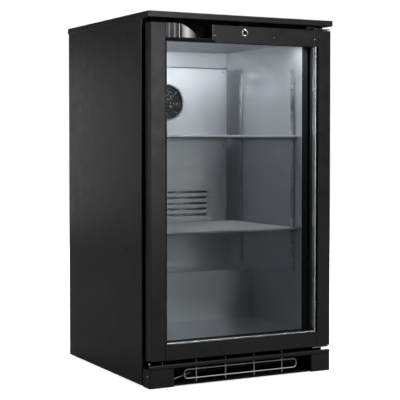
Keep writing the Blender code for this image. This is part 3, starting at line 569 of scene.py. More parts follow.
def power_inlet():
    """A mains inlet on its plate: flange, chamfered socket and the three pins."""
    low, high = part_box("power_inlet")
    sheet_low, sheet_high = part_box("back_panel")
    x, z, outside = 0.1900, 0.1868, high.y
    half_x, half_z, cut, floor = 0.0120, 0.0085, 0.0045, outside - 0.0165
    opening = [(x - half_x, z - half_z), (x + half_x, z - half_z),
               (x + half_x, z + half_z - cut), (x + half_x - cut, z + half_z),
               (x - half_x + cut, z + half_z), (x - half_x, z + half_z - cut)]
    board = plate("y", rounded(low.x, low.z, high.x, high.z, 0.0020), sheet_low.y, sheet_high.y, [opening])
    flange = plate("y", rounded(x - 0.0195, z - 0.0190, x + 0.0195, z + 0.0190, 0.0050),
                   sheet_high.y - 0.0001, outside, [opening])
    case = rounded(x - 0.0145, z - 0.0115, x + 0.0145, z + 0.0115, 0.0020)
    walls = plate("y", case, floor, sheet_low.y + 0.0001, [opening])
    base = plate("y", case, low.y, floor + 0.0001)
    piece("inlet_body", combine(board, flange, walls, base), "black_plastic", CABINET, ["power_inlet"])
    pins = []
    for dx, dz in ((-0.0070, -0.0020), (0.0070, -0.0020), (0.0, 0.0030)):
        pins.append(slab((x + dx - 0.0010, floor, z + dz - 0.0020),
                         (x + dx + 0.0010, outside - 0.0030, z + dz + 0.0020), 0.0004, 2))
    piece("inlet_pins", combine(*pins), "bright_steel", CABINET)
    heads = [screw((x + side * 0.0165, outside - 0.0008, z), BACK, 0.0022) for side in (-1, 1)]
    heads += [screw((a, sheet_high.y, b), BACK, 0.0028) for a in (low.x + 0.007, high.x - 0.007)
              for b in (low.z + 0.007, high.z - 0.007)]
    piece("inlet_screws", combine(*heads), "bright_steel", CABINET)


# ---- plinth ----


def pin(foot, top):
    """A thin upright pin with a small round head."""
    head = top - 0.0036
    profile = [(0, foot[2]), (0.0008, foot[2]), (0.0008, head), (0.0018, head + 0.0004),
               (0.0022, head + 0.0016), (0.0018, head + 0.0029), (0.0009, top), (0, top)]
    return lathe("z", (foot[0], foot[1], 0), profile, 16)


def plinth():
    """The two corner posts, the wire guard, and the screws that show."""
    wall, corner = 0.0022, 0.0030
    for name in ("plinth_post_left", "plinth_post_right"):
        low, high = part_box(name)
        outline = [(low.x, high.y)] + arc(low.x + corner, low.y + corner, corner, 180, 270)
        outline += arc(high.x - corner, low.y + corner, corner, 270, 360) + [(high.x, high.y)]
        outline += [(high.x - wall, high.y), (high.x - wall, low.y + wall), (low.x + wall, low.y + wall),
                    (low.x + wall, high.y)]
        shell = plate("z", outline, low.z, high.z)
        cap = slab((low.x + 0.001, low.y + 0.001, high.z - 0.003), (high.x - 0.001, high.y, high.z - 0.001))
        piece(name + "_shell", combine(shell, cap), "black_plastic", CABINET, [name])

    low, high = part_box("plinth_wire_guard")
    y, radius = (low.y + high.y) / 2, 0.0014
    rail_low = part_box("plinth_rail")[0]
    loop_low, loop_high = low.z + 0.0100, rail_low.z - 0.0075
    loop = bend([(low.x, y, loop_low), (high.x, y, loop_low), (high.x, y, loop_high), (low.x, y, loop_high)],
                0.012, 7, closed=True)
    bars = [wire(loop, radius, 10, closed=True)]
    pitch, first = 0.0815, low.x + 0.0330
    for k in range(4):
        x = first + pitch * k
        bars.append(wire([(x, y - 0.0002, low.z + radius), (x, y - 0.0002, rail_low.z + 0.007)], radius, 10))
        bars.append(pin((x, y, rail_low.z), high.z))
    piece("wire_guard", combine(*bars), "zinc_wire", CABINET, ["plinth_wire_guard"])

    p_low, p_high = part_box("plinth_rail")
    studs = [pin((p_low.x + along, y, p_high.z - 0.002), high.z) for along in (0.0047, 0.0395)]
    piece("plinth_studs", combine(*studs), "zinc_wire", CABINET)
    post_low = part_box("plinth_post_left")[0]
    side = [((post_low.x, post_low.y + 0.0125, 0.0285), LEFT),
            ((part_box("plinth_post_right")[1].x, post_low.y + 0.0125, 0.0285), RIGHT)]
    heads = [screw(centre, facing, 0.0026) for centre, facing in side]
    piece("plinth_screws", combine(*heads), "bright_steel", CABINET)


def feet():
    """Levelling feet: a round pad, a hexagon to turn it by, and a threaded stud."""
    for name in ("foot_front_left", "foot_front_right", "foot_rear_left", "foot_rear_right"):
        low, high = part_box(name)
        centre, radius = foot_of_axis(name, "z"), (high.x - low.x) / 2
        pad = lathe("z", centre, [(0, 0), (radius - 0.001, 0), (radius, 0.0008), (radius, 0.0016),
                                  (radius - 0.003, 0.0024), (0, 0.0024)], 36)
        hexagon = lathe("z", centre, [(0, 0.0023), (0.0065, 0.0023), (0.0065, 0.0070), (0, 0.0070)], 6)
        stud, thread = [(0, 0.006)], 0.0012
        turns = int((high.z - 0.007) / thread)
        for k in range(turns):
            z = 0.0065 + thread * k
            stud += [(0.0034, z), (0.0040, z + thread / 2)]
        stud += [(0.0034, high.z), (0, high.z)]
        shape = combine(pad, hexagon, lathe("z", centre, stud, 16))
        piece(name + "_pad", shape, "black_plastic", name, [name])


# ---- door ----


def rectangle(left, bottom, right, top):
    return [(left, bottom), (right, bottom), (right, top), (left, top)]


def glazing():
    """The spacer bar between the panes, the black seal before it and the bead behind it."""
    low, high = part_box("glass_spacer")
    stile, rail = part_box("door_stile_right")[0].x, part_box("door_rail_bottom")[1].z
    bar = rectangle(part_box("door_stile_left")[1].x + 0.0085, rail + 0.0012, stile - 0.0047, high.z - 0.0044)
    bow = [(0.0044 - 0.0075 * math.sin(t), low.y + 0.0075 * (1 - math.cos(t)))
           for t in (0.0, 0.12, 0.24, 0.36, 0.48, 0.60)]
    profile = [(0.0054, high.y), (0.0054, low.y)] + bow + [(bow[-1][0], high.y)]
    shape = ring(profile, bar[0][0], bar[1][0], bar[0][1], bar[2][1])
    piece("spacer_frame", shape, "bright_steel", DOOR, ["glass_spacer"])

    front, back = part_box("glass_outer")[0].y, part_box("glass_inner")[1].y
    seal = rectangle(bar[0][0] - 0.0042, bar[0][1] - 0.0042, stile + 0.0020, bar[2][1] + 0.0030)
    around = rectangle(low.x, low.z, high.x, high.z)
    piece("glazing_seal", plate("y", around, front - 0.0006, front, [seal]), "rubber", DOOR)

    for name, x, side in (("left", bar[0][0], -1), ("right", bar[1][0], 1)):
        profile = [(x, back + 0.0002), (x, back + 0.0050), (x + side * 0.0014, back + 0.0068),
                   (x + side * 0.0045, back + 0.0068), (x + side * 0.0045, back + 0.0002)]
        strip = plate("z", profile, low.z + 0.0070, high.z - 0.0060)
        piece("glazing_bead_" + name, strip, "grey_plastic", DOOR)


def gasket():
    """A magnetic door gasket: a dart at the door, two bellows and the magnet's pocket."""
    low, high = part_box("door_gasket")
    width, y0, y1 = 0.0140, low.y, high.y
    middle = (y0 + y1) / 2
    profile = [(0.0020, y0), (0.0010, y0 + 0.0010), (0.0022, middle - 0.0006), (0.0006, middle + 0.0006),
               (0.0, y1 - 0.0012), (0.0008, y1 - 0.0002), (0.0030, y1), (0.0070, y1 - 0.0003),
               (0.0110, y1), (0.0132, y1 - 0.0002), (width, y1 - 0.0012), (0.0134, middle + 0.0006),
               (0.0118, middle - 0.0006), (0.0130, y0 + 0.0010), (0.0120, y0)]
    shape = ring(profile, low.x + width, high.x - width, low.z + width, high.z - width)
    piece("gasket_bellows", shape, "rubber", DOOR, ["door_gasket"], angle=50)


def handle():
    """The pull: a ribbed end block, a bright nose that curves into a finger pocket, and its end."""
    low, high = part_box("handle_insert")
    top, front, back = high.z, low.y, high.y
    lip, floor, edge = low.z + 0.0065, low.z + 0.0085, 0.0010
    nose_left, nose_length, deep = low.x + 0.0447, 0.0460, 0.0205
    pocket_right = high.x - 0.0085
    wall = front + 0.0020 + deep

    sill = [(front + edge, low.z), (front, low.z + edge), (front, lip - edge), (front + 0.0004, lip),
            (front + 0.0020, floor), (back, floor), (back, low.z)]
    end = slab((low.x, front + 0.0012, floor - 0.001), (nose_left - 0.0110, back, top), edge)
    groove = slab((nose_left - 0.0115, front + 0.0080, floor - 0.001), (nose_left, back, top), edge)
    behind = slab((nose_left - 0.0020, wall + 0.0008, floor - 0.001), (high.x, back, top))
    right = slab((pocket_right, front, lip - 0.001), (high.x, back, top), edge)
    piece("pull_body", combine(end, right), "grey_plastic", DOOR, ["handle_insert"])
    pocket = combine(plate("x", sill, low.x, high.x), groove, behind)
    piece("pull_pocket", pocket, "matt_black", DOOR)

    start, crest, swell = front + 0.0006, 0.36 * nose_length, 0.0022
    outer = [(nose_left + crest * k / 8, start + swell * (1 - k / 8) ** 2) for k in range(8)]
    turns = [math.radians(5 * k) for k in range(19)]
    outer += [(nose_left + crest + (nose_length - crest) * math.sin(t), start + deep * (1 - math.cos(t)))
              for t in turns]
    inner = [(x - 0.0008 * k / len(outer), y + 0.0012) for k, (x, y) in enumerate(outer)]
    nose = plate("z", outer + inner[::-1], floor - 0.0004, top - 0.0006)
    for vert in nose.verts:
        if vert.co.z > lip + 0.01:
            vert.co.z -= 0.8 * (vert.co.z - floor) * max(0.0, vert.co.x - nose_left) / nose_length
    piece("pull_nose", nose, "satin_steel", DOOR, angle=50)

    ribs = []
    for x, half in ((low.x + 0.0098, 0.0023), (low.x + 0.0241, 0.0028)):
        ribs.append(slab((x - half, front, lip), (x + half, front + 0.0090, top - 0.0004), 0.0009))
    piece("pull_ribs", combine(*ribs), "dull_steel", DOOR)
    x = nose_left - 0.0077
    strip = slab((x - 0.0017, front - 0.0004, lip), (x + 0.0017, front + 0.0090, top - 0.0010), 0.0008)
    piece("pull_edge", strip, "satin_steel", DOOR)

    centre = Vector((low.x + 0.0160, front + 0.0012, lip + 0.0118))
    washer = lathe("y", centre, [(0, 0), (0.0030, 0), (0.0044, -0.0008), (0.0048, 0)], 28)
    piece("pull_washer", washer, "matt_black", DOOR)
    piece("pull_screw", screw(centre + Vector((0, -0.0004, 0)), FRONT, 0.0021), "dull_steel", DOOR)

    proud, sunk, mark_end = front - 0.0003, front + 0.0008, high.x + 0.0036
    marks = [slab((high.x - 0.0060, proud, z), (mark_end, sunk, z + 0.0018), 0.0003)
             for z in (lip + 0.0042, lip + 0.0124)]
    piece("pull_marks", combine(*marks), "matt_black", DOOR)
    tick = slab((high.x - 0.0050, proud, lip + 0.0084), (mark_end, sunk, lip + 0.0098), 0.0003)
    piece("pull_tick", tick, "dull_steel", DOOR)


def door_screws():
    """Two tiny fixings in the top rail."""
    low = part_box("door_rail_top")[0]
    z = low.z + 0.0170
    fixings("rail_fixings", spots((0.0901, 0.2090), low.y, (z,)), FRONT, 0.0011, "satin_steel", DOOR)


def lock():
    """The lock's domed collar, and its barrel with a keyway in the face."""
    low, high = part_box("lock_collar")
    centre = foot_of_axis("lock_collar", "y")
    outside, inside = (high.x - low.x) / 2, 0.0056
    dome = [(inside, low.y + 0.0010), (inside + 0.0010, low.y + 0.0002), (inside + 0.0020, low.y),
            (outside - 0.0015, low.y + 0.0004), (outside - 0.0005, low.y + 0.0012),
            (outside, low.y + 0.0024), (outside, high.y), (inside, high.y)]
    piece("collar_dome", lathe("y", centre, dome, 48, tube=True), "chrome", DOOR, ["lock_collar"], angle=60)

    low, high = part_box("lock_barrel")
    centre = foot_of_axis("lock_barrel", "y")
    radius = (high.x - low.x) / 2
    key = rounded(centre.x - 0.0007, centre.z - 0.0034, centre.x + 0.0007, centre.z + 0.0034, 0.0006, 3)
    face = plate("y", circle(centre.x, centre.z, radius - 0.0006, 32), low.y, low.y + 0.0030, [key])
    body = lathe("y", centre, [(0, low.y + 0.0028), (radius - 0.0006, low.y + 0.0028),
                               (radius, low.y + 0.0034), (radius, high.y), (0, high.y)], 32)
    piece("barrel_with_keyway", combine(face, body), "chrome", LOCK, ["lock_barrel"])


# ---- cold chamber ----


def frame_round_opening():
    """The plastic frame round the chamber's mouth, with a raised bead inside the gasket's line."""
    low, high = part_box("breaker_frame")
    flange, wall, front, back = 0.0413, 0.0020, low.y, high.y
    bead = 0.0009
    profile = [(0.0, back), (0.0, front + bead)]
    profile += [(bead * (1 - math.cos(t)), front + bead * (1 - math.sin(t))) for t in (0.5, 1.0, 1.57)]
    profile += [(flange - 0.0006, front), (flange, front + 0.0006), (flange, front + wall),
                (wall, front + wall), (wall, back)]
    shape = ring(profile, low.x + flange, high.x - flange, low.z + flange, high.z - flange)
    piece("opening_frame", shape, "matt_black", CABINET, ["breaker_frame"])


def shelf_rails():
    """Slotted uprights, and the bent clips that the shelves stand on."""
    clips = []
    tops = [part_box(name)[0].z for name in ("shelf_lower", "shelf_upper")]
    for name in ("pilaster_front_left", "pilaster_front_right", "pilaster_rear_left", "pilaster_rear_right"):
        low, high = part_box(name)
        middle = (low.y + high.y) / 2
        pitch, slot_half, slot_length = 0.0250, 0.0018, 0.0110
        count = int((high.z - low.z - 0.02) / pitch) + 1
        holes = []
        for k in range(count):
            z = low.z + 0.014 + pitch * k
            if z + slot_length < high.z - 0.004:
                holes.append(rounded(middle - slot_half, z, middle + slot_half, z + slot_length, 0.0014, 2))
        inner = high.x if low.x < 0 else low.x
        wall = low.x if low.x < 0 else high.x
        face = sorted((inner, inner + math.copysign(0.0012, wall)))
        strip = plate("x", rounded(low.y, low.z, high.y, high.z, 0.0015), face[0], face[1], holes)
        x0, x1 = sorted((inner, wall))
        sides = [slab((x0, y - 0.0006, low.z + 0.001), (x1, y + 0.0006, high.z - 0.001), 0.0004, 2)
                 for y in (low.y + 0.0008, high.y - 0.0008)]
        piece(name + "_strip", combine(strip, *sides), "bright_steel", CABINET, [name])
        for z in tops:
            shelf_under = z + 0.0098
            for reach, drop in ((0.0060, 0.0040), (0.0012, 0.0120)):
                x0, x1 = sorted((inner, inner - math.copysign(reach, wall)))
                clips.append(slab((x0, middle - 0.0045, shelf_under - drop),
                                  (x1, middle + 0.0045, shelf_under - 0.0026), 0.0004, 2))
    piece("shelf_clips", combine(*clips), "bright_steel", CABINET)


def wire_shelf(name):
    """Close wires that run front to back over thick cross wires, with their round ends to the front."""
    low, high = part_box(name)
    top, count, thin, thick = high.z, 70, 0.0012, 0.0024
    under = top - 2 * thin - thick
    wires = []
    for k in range(count):
        x = low.x + 0.0026 + (high.x - low.x - 0.0052) * k / (count - 1)
        wires.append(wire([(x, low.y + 0.0006, top - thin), (x, high.y - 0.0006, top - thin)], thin, 8))
    piece(name + "_wires", combine(*wires), "zinc_wire", name, [name], angle=60)

    rods = []
    places = [low.y + 0.0044 + (high.y - low.y - 0.0088) * k / 4 for k in range(5)]
    for y in places:
        rods.append(wire([(low.x + 0.001, y, under), (high.x - 0.001, y, under)], thick, 10))
    lowest = under - 1.4 * thick
    for x in (low.x + thick, high.x - thick):
        rods.append(wire([(x, places[0], lowest), (x, places[-1], lowest)], thick, 10))
    piece(name + "_rods", combine(*rods), "dull_steel", name, angle=60)


def evaporator():
    """The chiller's cover with its slots, its fan opening with a wire finger guard, and screws."""
    low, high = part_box("evaporator_cover")
    fan_low, fan_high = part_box("evaporator_fan")
    fan = (fan_low + fan_high) / 2
    sheet, radius, corner = 0.0012, 0.0480, 0.0050
    holes = [circle(fan.x, fan.z, radius, 48)]
    for k in range(5):
        z = low.z + 0.025 + 0.016 * k
        for x0, x1 in ((-0.125, -0.045), (-0.040, 0.040), (0.045, 0.125)):
            holes.append(rounded(x0, z - 0.003, x1, z + 0.003, 0.0029, 3))
    edge = rounded(low.x + corner, low.z + corner, high.x - corner, high.z - corner, 0.001)
    face = plate("y", edge, low.y, low.y + sheet, holes)
    bow = [(corner * math.sin(math.radians(t)), low.y + corner * (1 - math.cos(math.radians(t))))
           for t in range(0, 91, 15)]
    under = [(u - sheet * 0.8 * (u / corner), y + sheet) for u, y in bow]
    profile = bow + [(corner, high.y), (corner - sheet, high.y)] + under[::-1]
    walls = ring(profile, low.x + corner, high.x - corner, low.z + corner, high.z - corner)
    piece("chiller_cover", combine(face, walls), "liner", CABINET, ["evaporator_cover"])

    y, thin = low.y - 0.0010, 0.0009
    rings = [wire([(fan.x + a, y, fan.z + b) for a, b in circle(0, 0, r, 40)], thin, 6, closed=True)
             for r in (0.010, 0.020, 0.030, 0.040, 0.050)]
    for k in range(4):
        t = math.radians(45 + 90 * k)
        c, s = math.cos(t), math.sin(t)
        rings.append(wire([(fan.x + 0.009 * c, y + thin, fan.z + 0.009 * s),
                           (fan.x + 0.054 * c, y + thin, fan.z + 0.054 * s)], thin, 6))
    piece("fan_guard", combine(*rings), "chrome", CABINET)
    inset = 0.012
    heights = (low.z + inset, (low.z + high.z) / 2, high.z - inset)
    places = spots((low.x + inset, high.x - inset), low.y, heights)
    fixings("chiller_screws", places, FRONT, 0.0030)


def propeller(name, axis, look, blades=5):
    """A fan wheel with a domed hub and twisted, swept blades."""
    low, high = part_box(name)
    third = PLANES[axis][2]
    radius = max((high - low)[k] for k in range(3) if k != third) / 2
    depth = high[third] - low[third]
    hub = 0.30 * radius
    base, start = foot_of_axis(name, axis), low[third]
    boss = [(0, start), (hub * 0.7, start + 0.0006), (hub, start + 0.003), (hub, start + depth),
            (0, start + depth)]
    shapes = [lathe(axis, base, boss, 32)]
    thick, rows, columns = 0.0011, 6, 6
    for k in range(blades):
        bm = bmesh.new()
        grid = {}
        for i in range(rows + 1):
            r = hub * 0.92 + (radius - hub * 0.92) * i / rows
            half = math.radians(21 + 10 * math.sin(math.pi * i / rows))
            sweep = math.radians(14) * i / rows
            for j in range(columns + 1):
                s = 2 * j / columns - 1
                t = s * half + sweep + 2 * math.pi * k / blades
                rise = start + depth * (0.5 + 0.40 * s * (1 - 0.35 * i / rows)) + 0.0012 * (1 - s * s)
                rise = min(max(rise, start + thick), start + depth - thick)
                for layer in (0, 1):
                    p = at(axis, r * math.cos(t), r * math.sin(t), rise + (layer - 0.5) * thick)
                    grid[i, j, layer] = bm.verts.new(p + base)
        for i in range(rows):
            for j in range(columns):
                for layer in (0, 1):
                    bm.faces.new([grid[i + a, j + b, layer] for a, b in ((0, 0), (1, 0), (1, 1), (0, 1))])
        rim = [(i, 0) for i in range(rows)] + [(rows, j) for j in range(columns)]
        rim += [(i, columns) for i in range(rows, 0, -1)] + [(0, j) for j in range(columns, 0, -1)]
        for p, q in zip(rim, rim[1:] + rim[:1]):
            bm.faces.new((grid[(*p, 0)], grid[(*q, 0)], grid[(*q, 1)], grid[(*p, 1)]))
        shapes.append(bm)
    piece(name + "_wheel", combine(*shapes), look, name, [name], angle=45)


def controls():
    """The thermostat's fluted knob and its dial ticks, on the control box."""
    low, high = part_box("thermostat_knob")
    centre = foot_of_axis("thermostat_knob", "y")
    radius, back, front = (high.x - low.x) / 2, high.y, low.y + 0.0018
    flutes = []
    for k in range(72):
        t = 2 * math.pi * k / 72
        r = 0.0098 - 0.0005 * (k % 4 == 0)
        flutes.append((centre.x + r * math.cos(t), centre.z + r * math.sin(t)))
    grip = plate("y", flutes, front, back - 0.0024)
    skirt = lathe("y", centre, [(0, back - 0.0025), (0.0105, back - 0.0025), (radius, back - 0.0012),
                                (radius, back), (0, back)], 40)
    rib = slab((centre.x - 0.0011, low.y, centre.z - 0.0080),
               (centre.x + 0.0011, front + 0.001, centre.z + 0.0080))
    piece("dial_knob", combine(grip, skirt, rib), "white_plastic", "thermostat_knob", ["thermostat_knob"])
    place = Vector((centre.x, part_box("control_housing")[0].y, centre.z))
    upright = Matrix.Translation(place) @ Matrix.Rotation(math.radians(90), 4, "X")
    ticks = []
    for k in range(9):
        t = math.radians(-45 + 33.75 * k)
        length = 0.0018 if k % 2 else 0.0026
        tick = slab((0.0130, -0.0003, 0), (0.0130 + length, 0.0003, 0.0002), 0.0001, 1)
        tick.transform(upright @ Matrix.Rotation(t, 4, "Z"))
        ticks.append(tick)
    piece("dial_ticks", combine(*ticks), "black_plastic", CABINET)


# ---- machine space ----


def condenser():
    """A wire-on-tube condenser: one long bent copper tube between two layers of steel wires."""
    low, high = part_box("condenser_coil")
    radius = (high.z - low.z) / 2
    z, passes = (low.z + high.z) / 2, 8
    pitch = (high.y - low.y - 2 * radius) / (passes - 1)
    bend_radius = pitch / 2
    left, right = low.x + radius + bend_radius, high.x - radius - bend_radius
    path = []
    for k in range(passes):
        y = low.y + radius + pitch * k
        ends = (left, right) if k % 2 == 0 else (right, left)
        path += [(x, y, z) for x in ends]
        if k < passes - 1:
            side = 1 if k % 2 == 0 else -1
            for t in range(-75, 90, 15):
                turn = math.radians(t)
                path.append((ends[1] + side * bend_radius * math.cos(turn),
                             y + bend_radius + bend_radius * math.sin(turn), z))
    # The condenser tube wears the shade-darkened copper, a painted shade.
    piece("condenser_tube", wire(path, radius, 10), "shade_darkened_copper", CABINET, ["condenser_coil"], angle=60)
    thin, count = 0.0008, 52
    rods = []
    for k in range(count):
        x = left + (right - left) * k / (count - 1)
        for side in (-1, 1):
            layer = z + side * (radius + thin)
            rods.append(wire([(x, low.y - 0.002, layer), (x, high.y + 0.002, layer)], thin, 6))
    piece("condenser_wires", combine(*rods), "black_paint", CABINET, angle=60)
    stay = [(-0.1880, -0.2390, 0.0160), (-0.1366, -0.2360, 0.0285), (-0.1290, -0.2100, 0.0285)]
    piece("condenser_stay", wire(bend(stay, 0.010), 0.0019, 10), "dull_steel", CABINET, angle=60)


def compressor():
    """A welded pot with its seam, its terminal cover and its feet on rubber mounts."""
    low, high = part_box("compressor")
    centre = foot_of_axis("compressor", "z")
    seam = (high.x - low.x) / 2
    r, top = seam - 0.003, high.z
    dome = [(r * math.cos(math.radians(t)), top - 0.034 + 0.034 * math.sin(math.radians(t)))
            for t in range(0, 90, 12)]
    foot = [(r * math.cos(math.radians(t)), 0.036 - 0.022 * math.sin(math.radians(t)))
            for t in range(72, -1, -12)]
    profile = [(0, 0.0150)] + foot + [(r, 0.088), (seam, 0.0895), (seam, 0.0965), (r, 0.0985)]
    pot = lathe("z", centre, profile + dome + [(0, top)], 56)
    piece("compressor_pot", pot, "black_paint", CABINET, ["compressor"], angle=40)

    box_x = centre.x + r
    cover = slab((box_x - 0.012, centre.y - 0.026, 0.052),
                 (box_x + 0.020, centre.y + 0.026, 0.108), 0.004, 4)
    piece("terminal_cover", cover, "black_plastic", CABINET)
    base, mounts = [], []
    ground = low.z
    for sx in (-1, 1):
        for sy in (-1, 1):
            x, y = centre.x + sx * 0.058, centre.y + sy * 0.044
            mounts.append(lathe("z", (x, y, 0), [(0, ground), (0.009, ground), (0.0075, ground + 0.004),
                                                 (0.009, ground + 0.009), (0, ground + 0.009)], 20))
    for sy in (-1, 1):
        y = centre.y + sy * 0.044
        base.append(slab((centre.x - 0.068, y - 0.012, ground + 0.009),
                         (centre.x + 0.068, y + 0.012, ground + 0.0115), 0.001))
    piece("compressor_mounts", combine(*mounts), "rubber", CABINET)
    piece("compressor_feet", combine(*base), "black_paint", CABINET)


def pipework():
    """Copper lines between the compressor, the condenser, the drier and the chiller."""
    pot_low, pot_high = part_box("compressor")
    drier_low, drier_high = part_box("filter_drier")
    coil_low, coil_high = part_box("condenser_coil")
    pot = (pot_low + pot_high) / 2
    drier = (drier_low + drier_high) / 2
    roof = 0.204
    thick, thin = 0.0032, 0.0024
    suction = [(pot.x + 0.030, pot.y - 0.050, 0.125), (pot.x + 0.045, pot.y - 0.066, 0.130),
               (pot.x + 0.050, pot.y - 0.068, 0.190), (pot.x + 0.120, pot.y + 0.020, 0.190),
               (pot.x + 0.120, pot.y + 0.020, roof)]
    discharge = [(pot.x + 0.052, pot.y + 0.020, 0.118), (pot.x + 0.072, pot.y + 0.028, 0.118),
                 (pot.x + 0.072, pot.y + 0.028, 0.040), (pot.x + 0.072, coil_high.y + 0.020, 0.022),
                 (coil_low.x + 0.060, coil_high.y + 0.014, 0.022),
                 (coil_low.x + 0.024, coil_high.y - 0.003, 0.022)]
    liquid = [(drier.x, drier.y, drier_low.z + 0.002), (drier.x, drier.y, 0.020),
              (drier.x + 0.020, drier.y - 0.100, 0.014), (coil_high.x - 0.030, coil_high.y + 0.006, 0.014)]
    capillary = [(drier.x, drier.y, drier_high.z - 0.002), (drier.x, drier.y, 0.165),
                 (drier.x - 0.020, drier.y, 0.180), (drier.x - 0.020, drier.y - 0.02, roof)]
    lines = [wire(bend(suction, 0.014), thick, 10), wire(bend(discharge, 0.014), thin, 10),
             wire(bend(liquid, 0.012), thin, 10), wire(bend(capillary, 0.008), 0.0012, 8)]
    piece("copper_lines", combine(*lines), "copper", CABINET, angle=60)
    process = [(pot.x - 0.045, pot.y + 0.030, 0.120), (pot.x - 0.062, pot.y + 0.040, 0.124),
               (pot.x - 0.064, pot.y + 0.041, 0.150)]
    piece("process_tube", wire(bend(process, 0.008), 0.0028, 10), "copper", CABINET, angle=60)


def fan_shroud():
    """The condenser fan's plate with a rolled ring, and the motor on its bracket."""
    low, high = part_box("condenser_fan_shroud")
    hub = foot_of_axis("condenser_fan", "x")
    radius = 0.0560
    outline = rounded(low.y, low.z, high.y, high.z, 0.004)
    sheet = plate("x", outline, low.x, low.x + 0.0012, [circle(hub.y, hub.z, radius, 56)])
    rolled = [(radius + 0.001, low.x), (radius + 0.0002, low.x + 0.0022), (radius, low.x + 0.014),
              (radius + 0.0010, low.x + 0.014), (radius + 0.0022, low.x + 0.001)]
    lip = lathe("x", hub, rolled, 56, tube=True)
    piece("shroud_plate", combine(sheet, lip), "galvanised", CABINET, ["condenser_fan_shroud"])
    m_low, m_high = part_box("condenser_fan_motor")
    body_radius = (m_high.y - m_low.y) / 2
    can = [(0, m_low.x), (0.008, m_low.x), (0.018, m_low.x + 0.003), (body_radius - 0.001, m_low.x + 0.008),
           (body_radius, m_low.x + 0.012), (body_radius, m_high.x - 0.003),
           (body_radius - 0.003, m_high.x), (0, m_high.x)]
    body = lathe("x", hub, can, 40)
    heel = (m_low.x + 0.012, hub.y - 0.015, m_low.z)
    leg = slab(heel, (m_low.x + 0.0145, hub.y + 0.015, hub.z), 0.0005)
    toe = slab(heel, (m_low.x + 0.034, hub.y + 0.015, m_low.z + 0.0025), 0.0005)
    piece("motor_on_bracket", combine(body, leg, toe), "black_paint", CABINET, ["condenser_fan_motor"])


# ---- building ----

side_panels()
back_sheets()
power_inlet()
plinth()
feet()
glazing()
gasket()
handle()
door_screws()
lock()
frame_round_opening()
shelf_rails()
for shelf in ("shelf_lower", "shelf_upper"):
    wire_shelf(shelf)
evaporator()
propeller("evaporator_fan", "y", "black_plastic")
propeller("condenser_fan", "x", "raw_aluminium")
controls()
condenser()
compressor()
pipework()
fan_shroud()

# ---- floor, light and camera ----


def pale_floor():
    """A pale floor that gives back less light to the object than it shows."""
    material, tree, shader = new_material("pale_floor")
    seen = blend_colours(tree, noise(tree, 1.5, detail=3.0), (0.88, 0.88, 0.88), (0.91, 0.91, 0.91))
    path = tree.nodes.new("ShaderNodeLightPath")
    mix = tree.nodes.new("ShaderNodeMix")
    mix.data_type = "RGBA"
    mix.inputs[6].default_value = (0.12, 0.12, 0.12, 1.0)
    tree.links.new(path.outputs["Is Camera Ray"], mix.inputs[0])
    tree.links.new(seen, mix.inputs[7])
    feed(tree, shader, "Base Color", mix.outputs[2])
    shader.inputs["Emission Color"].default_value = (1.0, 1.0, 1.0, 1.0)
    distance = tree.nodes.new("ShaderNodeVectorMath")
    own_coordinates(tree, distance)
    distance.operation = "LENGTH"
    lit = tree.nodes.new("ShaderNodeMath")
    lit.operation = "MULTIPLY"
    tree.links.new(between(tree, distance.outputs["Value"], 0.74, 0.99, 0.5, 3.5), lit.inputs[0])
    tree.links.new(path.outputs["Is Camera Ray"], lit.inputs[1])
    feed(tree, shader, "Emission Strength", lit.outputs[0])
    shader.inputs["Roughness"].default_value = 0.9
    shader.inputs["Specular IOR Level"].default_value = 0.1
    radius = 40.0
    mesh = as_mesh("floor", lathe("z", (0, 0, 0), [(0, 0), (radius, 0)], 64))
    mesh.materials.append(material)
    floor = put_in_scene("floor", mesh)


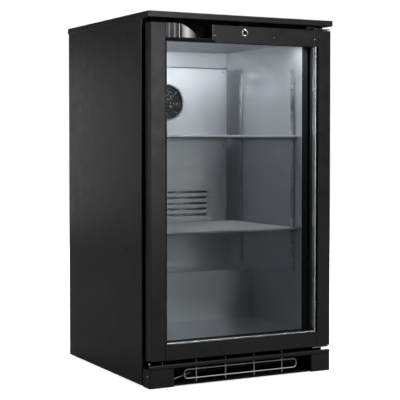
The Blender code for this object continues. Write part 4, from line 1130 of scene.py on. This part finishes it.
def surroundings():
    """White to the camera, and almost dark as a source of light."""
    world = bpy.data.worlds.new("studio")
    bpy.context.scene.world = world
    world.use_nodes = True
    tree = world.node_tree
    seen = tree.nodes["Background"]
    seen.inputs["Color"].default_value = (1.0, 1.0, 1.0, 1.0)
    seen.inputs["Strength"].default_value = 1.05
    lighting = tree.nodes.new("ShaderNodeBackground")
    lighting.inputs["Color"].default_value = (0.95, 0.97, 1.0, 1.0)
    lighting.inputs["Strength"].default_value = 0.01
    path = tree.nodes.new("ShaderNodeLightPath")
    surface_mix(tree, "World Output", path.outputs["Is Camera Ray"], lighting, seen)


def softbox(name, place, target, size, power, colour=(1.0, 1.0, 1.0)):
    light = bpy.data.lights.new(name, "AREA")
    light.shape = "RECTANGLE"
    light.size, light.size_y = size
    light.energy = power
    light.color = colour
    obj = put_in_scene(name, light)
    obj.location = place
    obj.rotation_euler = (Vector(target) - Vector(place)).to_track_quat("-Z", "Y").to_euler()


def camera():
    """The camera stands left of the door, at about two thirds of the cooler's height."""
    width, focal, sensor = 400, 1161.4, 36.0
    yaw, pitch = math.radians(27.784), math.radians(1.90)
    data = bpy.data.cameras.new("camera")
    data.sensor_width = sensor
    data.lens = focal * sensor / width
    data.shift_y = -0.05
    data.clip_end = 200.0
    obj = put_in_scene("camera", data)
    obj.location = (-1.4298, -2.7391, 0.5914)
    obj.rotation_euler = (math.radians(90) - pitch, 0.0, -yaw)
    bpy.context.scene.camera = obj


pale_floor()
surroundings()
middle = (0.0, 0.0, 0.45)
for name, place, size, power in (("right_high", (1.65, -1.87, 2.95), (0.7, 0.7), 84.0),
                                 ("door_key", (0.70, -2.6, 0.95), (0.5, 1.3), 8.0),
                                 ("overhead", (0.3, 0.5, 3.2), (3.0, 3.0), 85.0),
                                 ("left", (-3.0, 0.8, 1.4), (1.2, 1.2), 40.0),
                                 ("rear_left", (-1.15, 3.2, 0.60), (0.5, 0.9), 1.8),
                                 ("right_fill", (3.0, 0.9, 1.5), (1.2, 1.2), 45.0),
                                 ("back_fill", (1.0, 3.2, 1.6), (1.2, 1.2), 35.0)):
    softbox(name, place, middle, size, power)
lamp_low, lamp_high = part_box("led_diffuser")
softbox("lamp_glow", (0.0, (lamp_low.y + lamp_high.y) / 2, lamp_low.z - 0.002), (0.0, 0.05, 0.1),
        (lamp_high.x - lamp_low.x, lamp_high.y - lamp_low.y), 1.5, (0.97, 0.98, 1.0))
camera()
bpy.context.scene.view_settings.view_transform = "Standard"
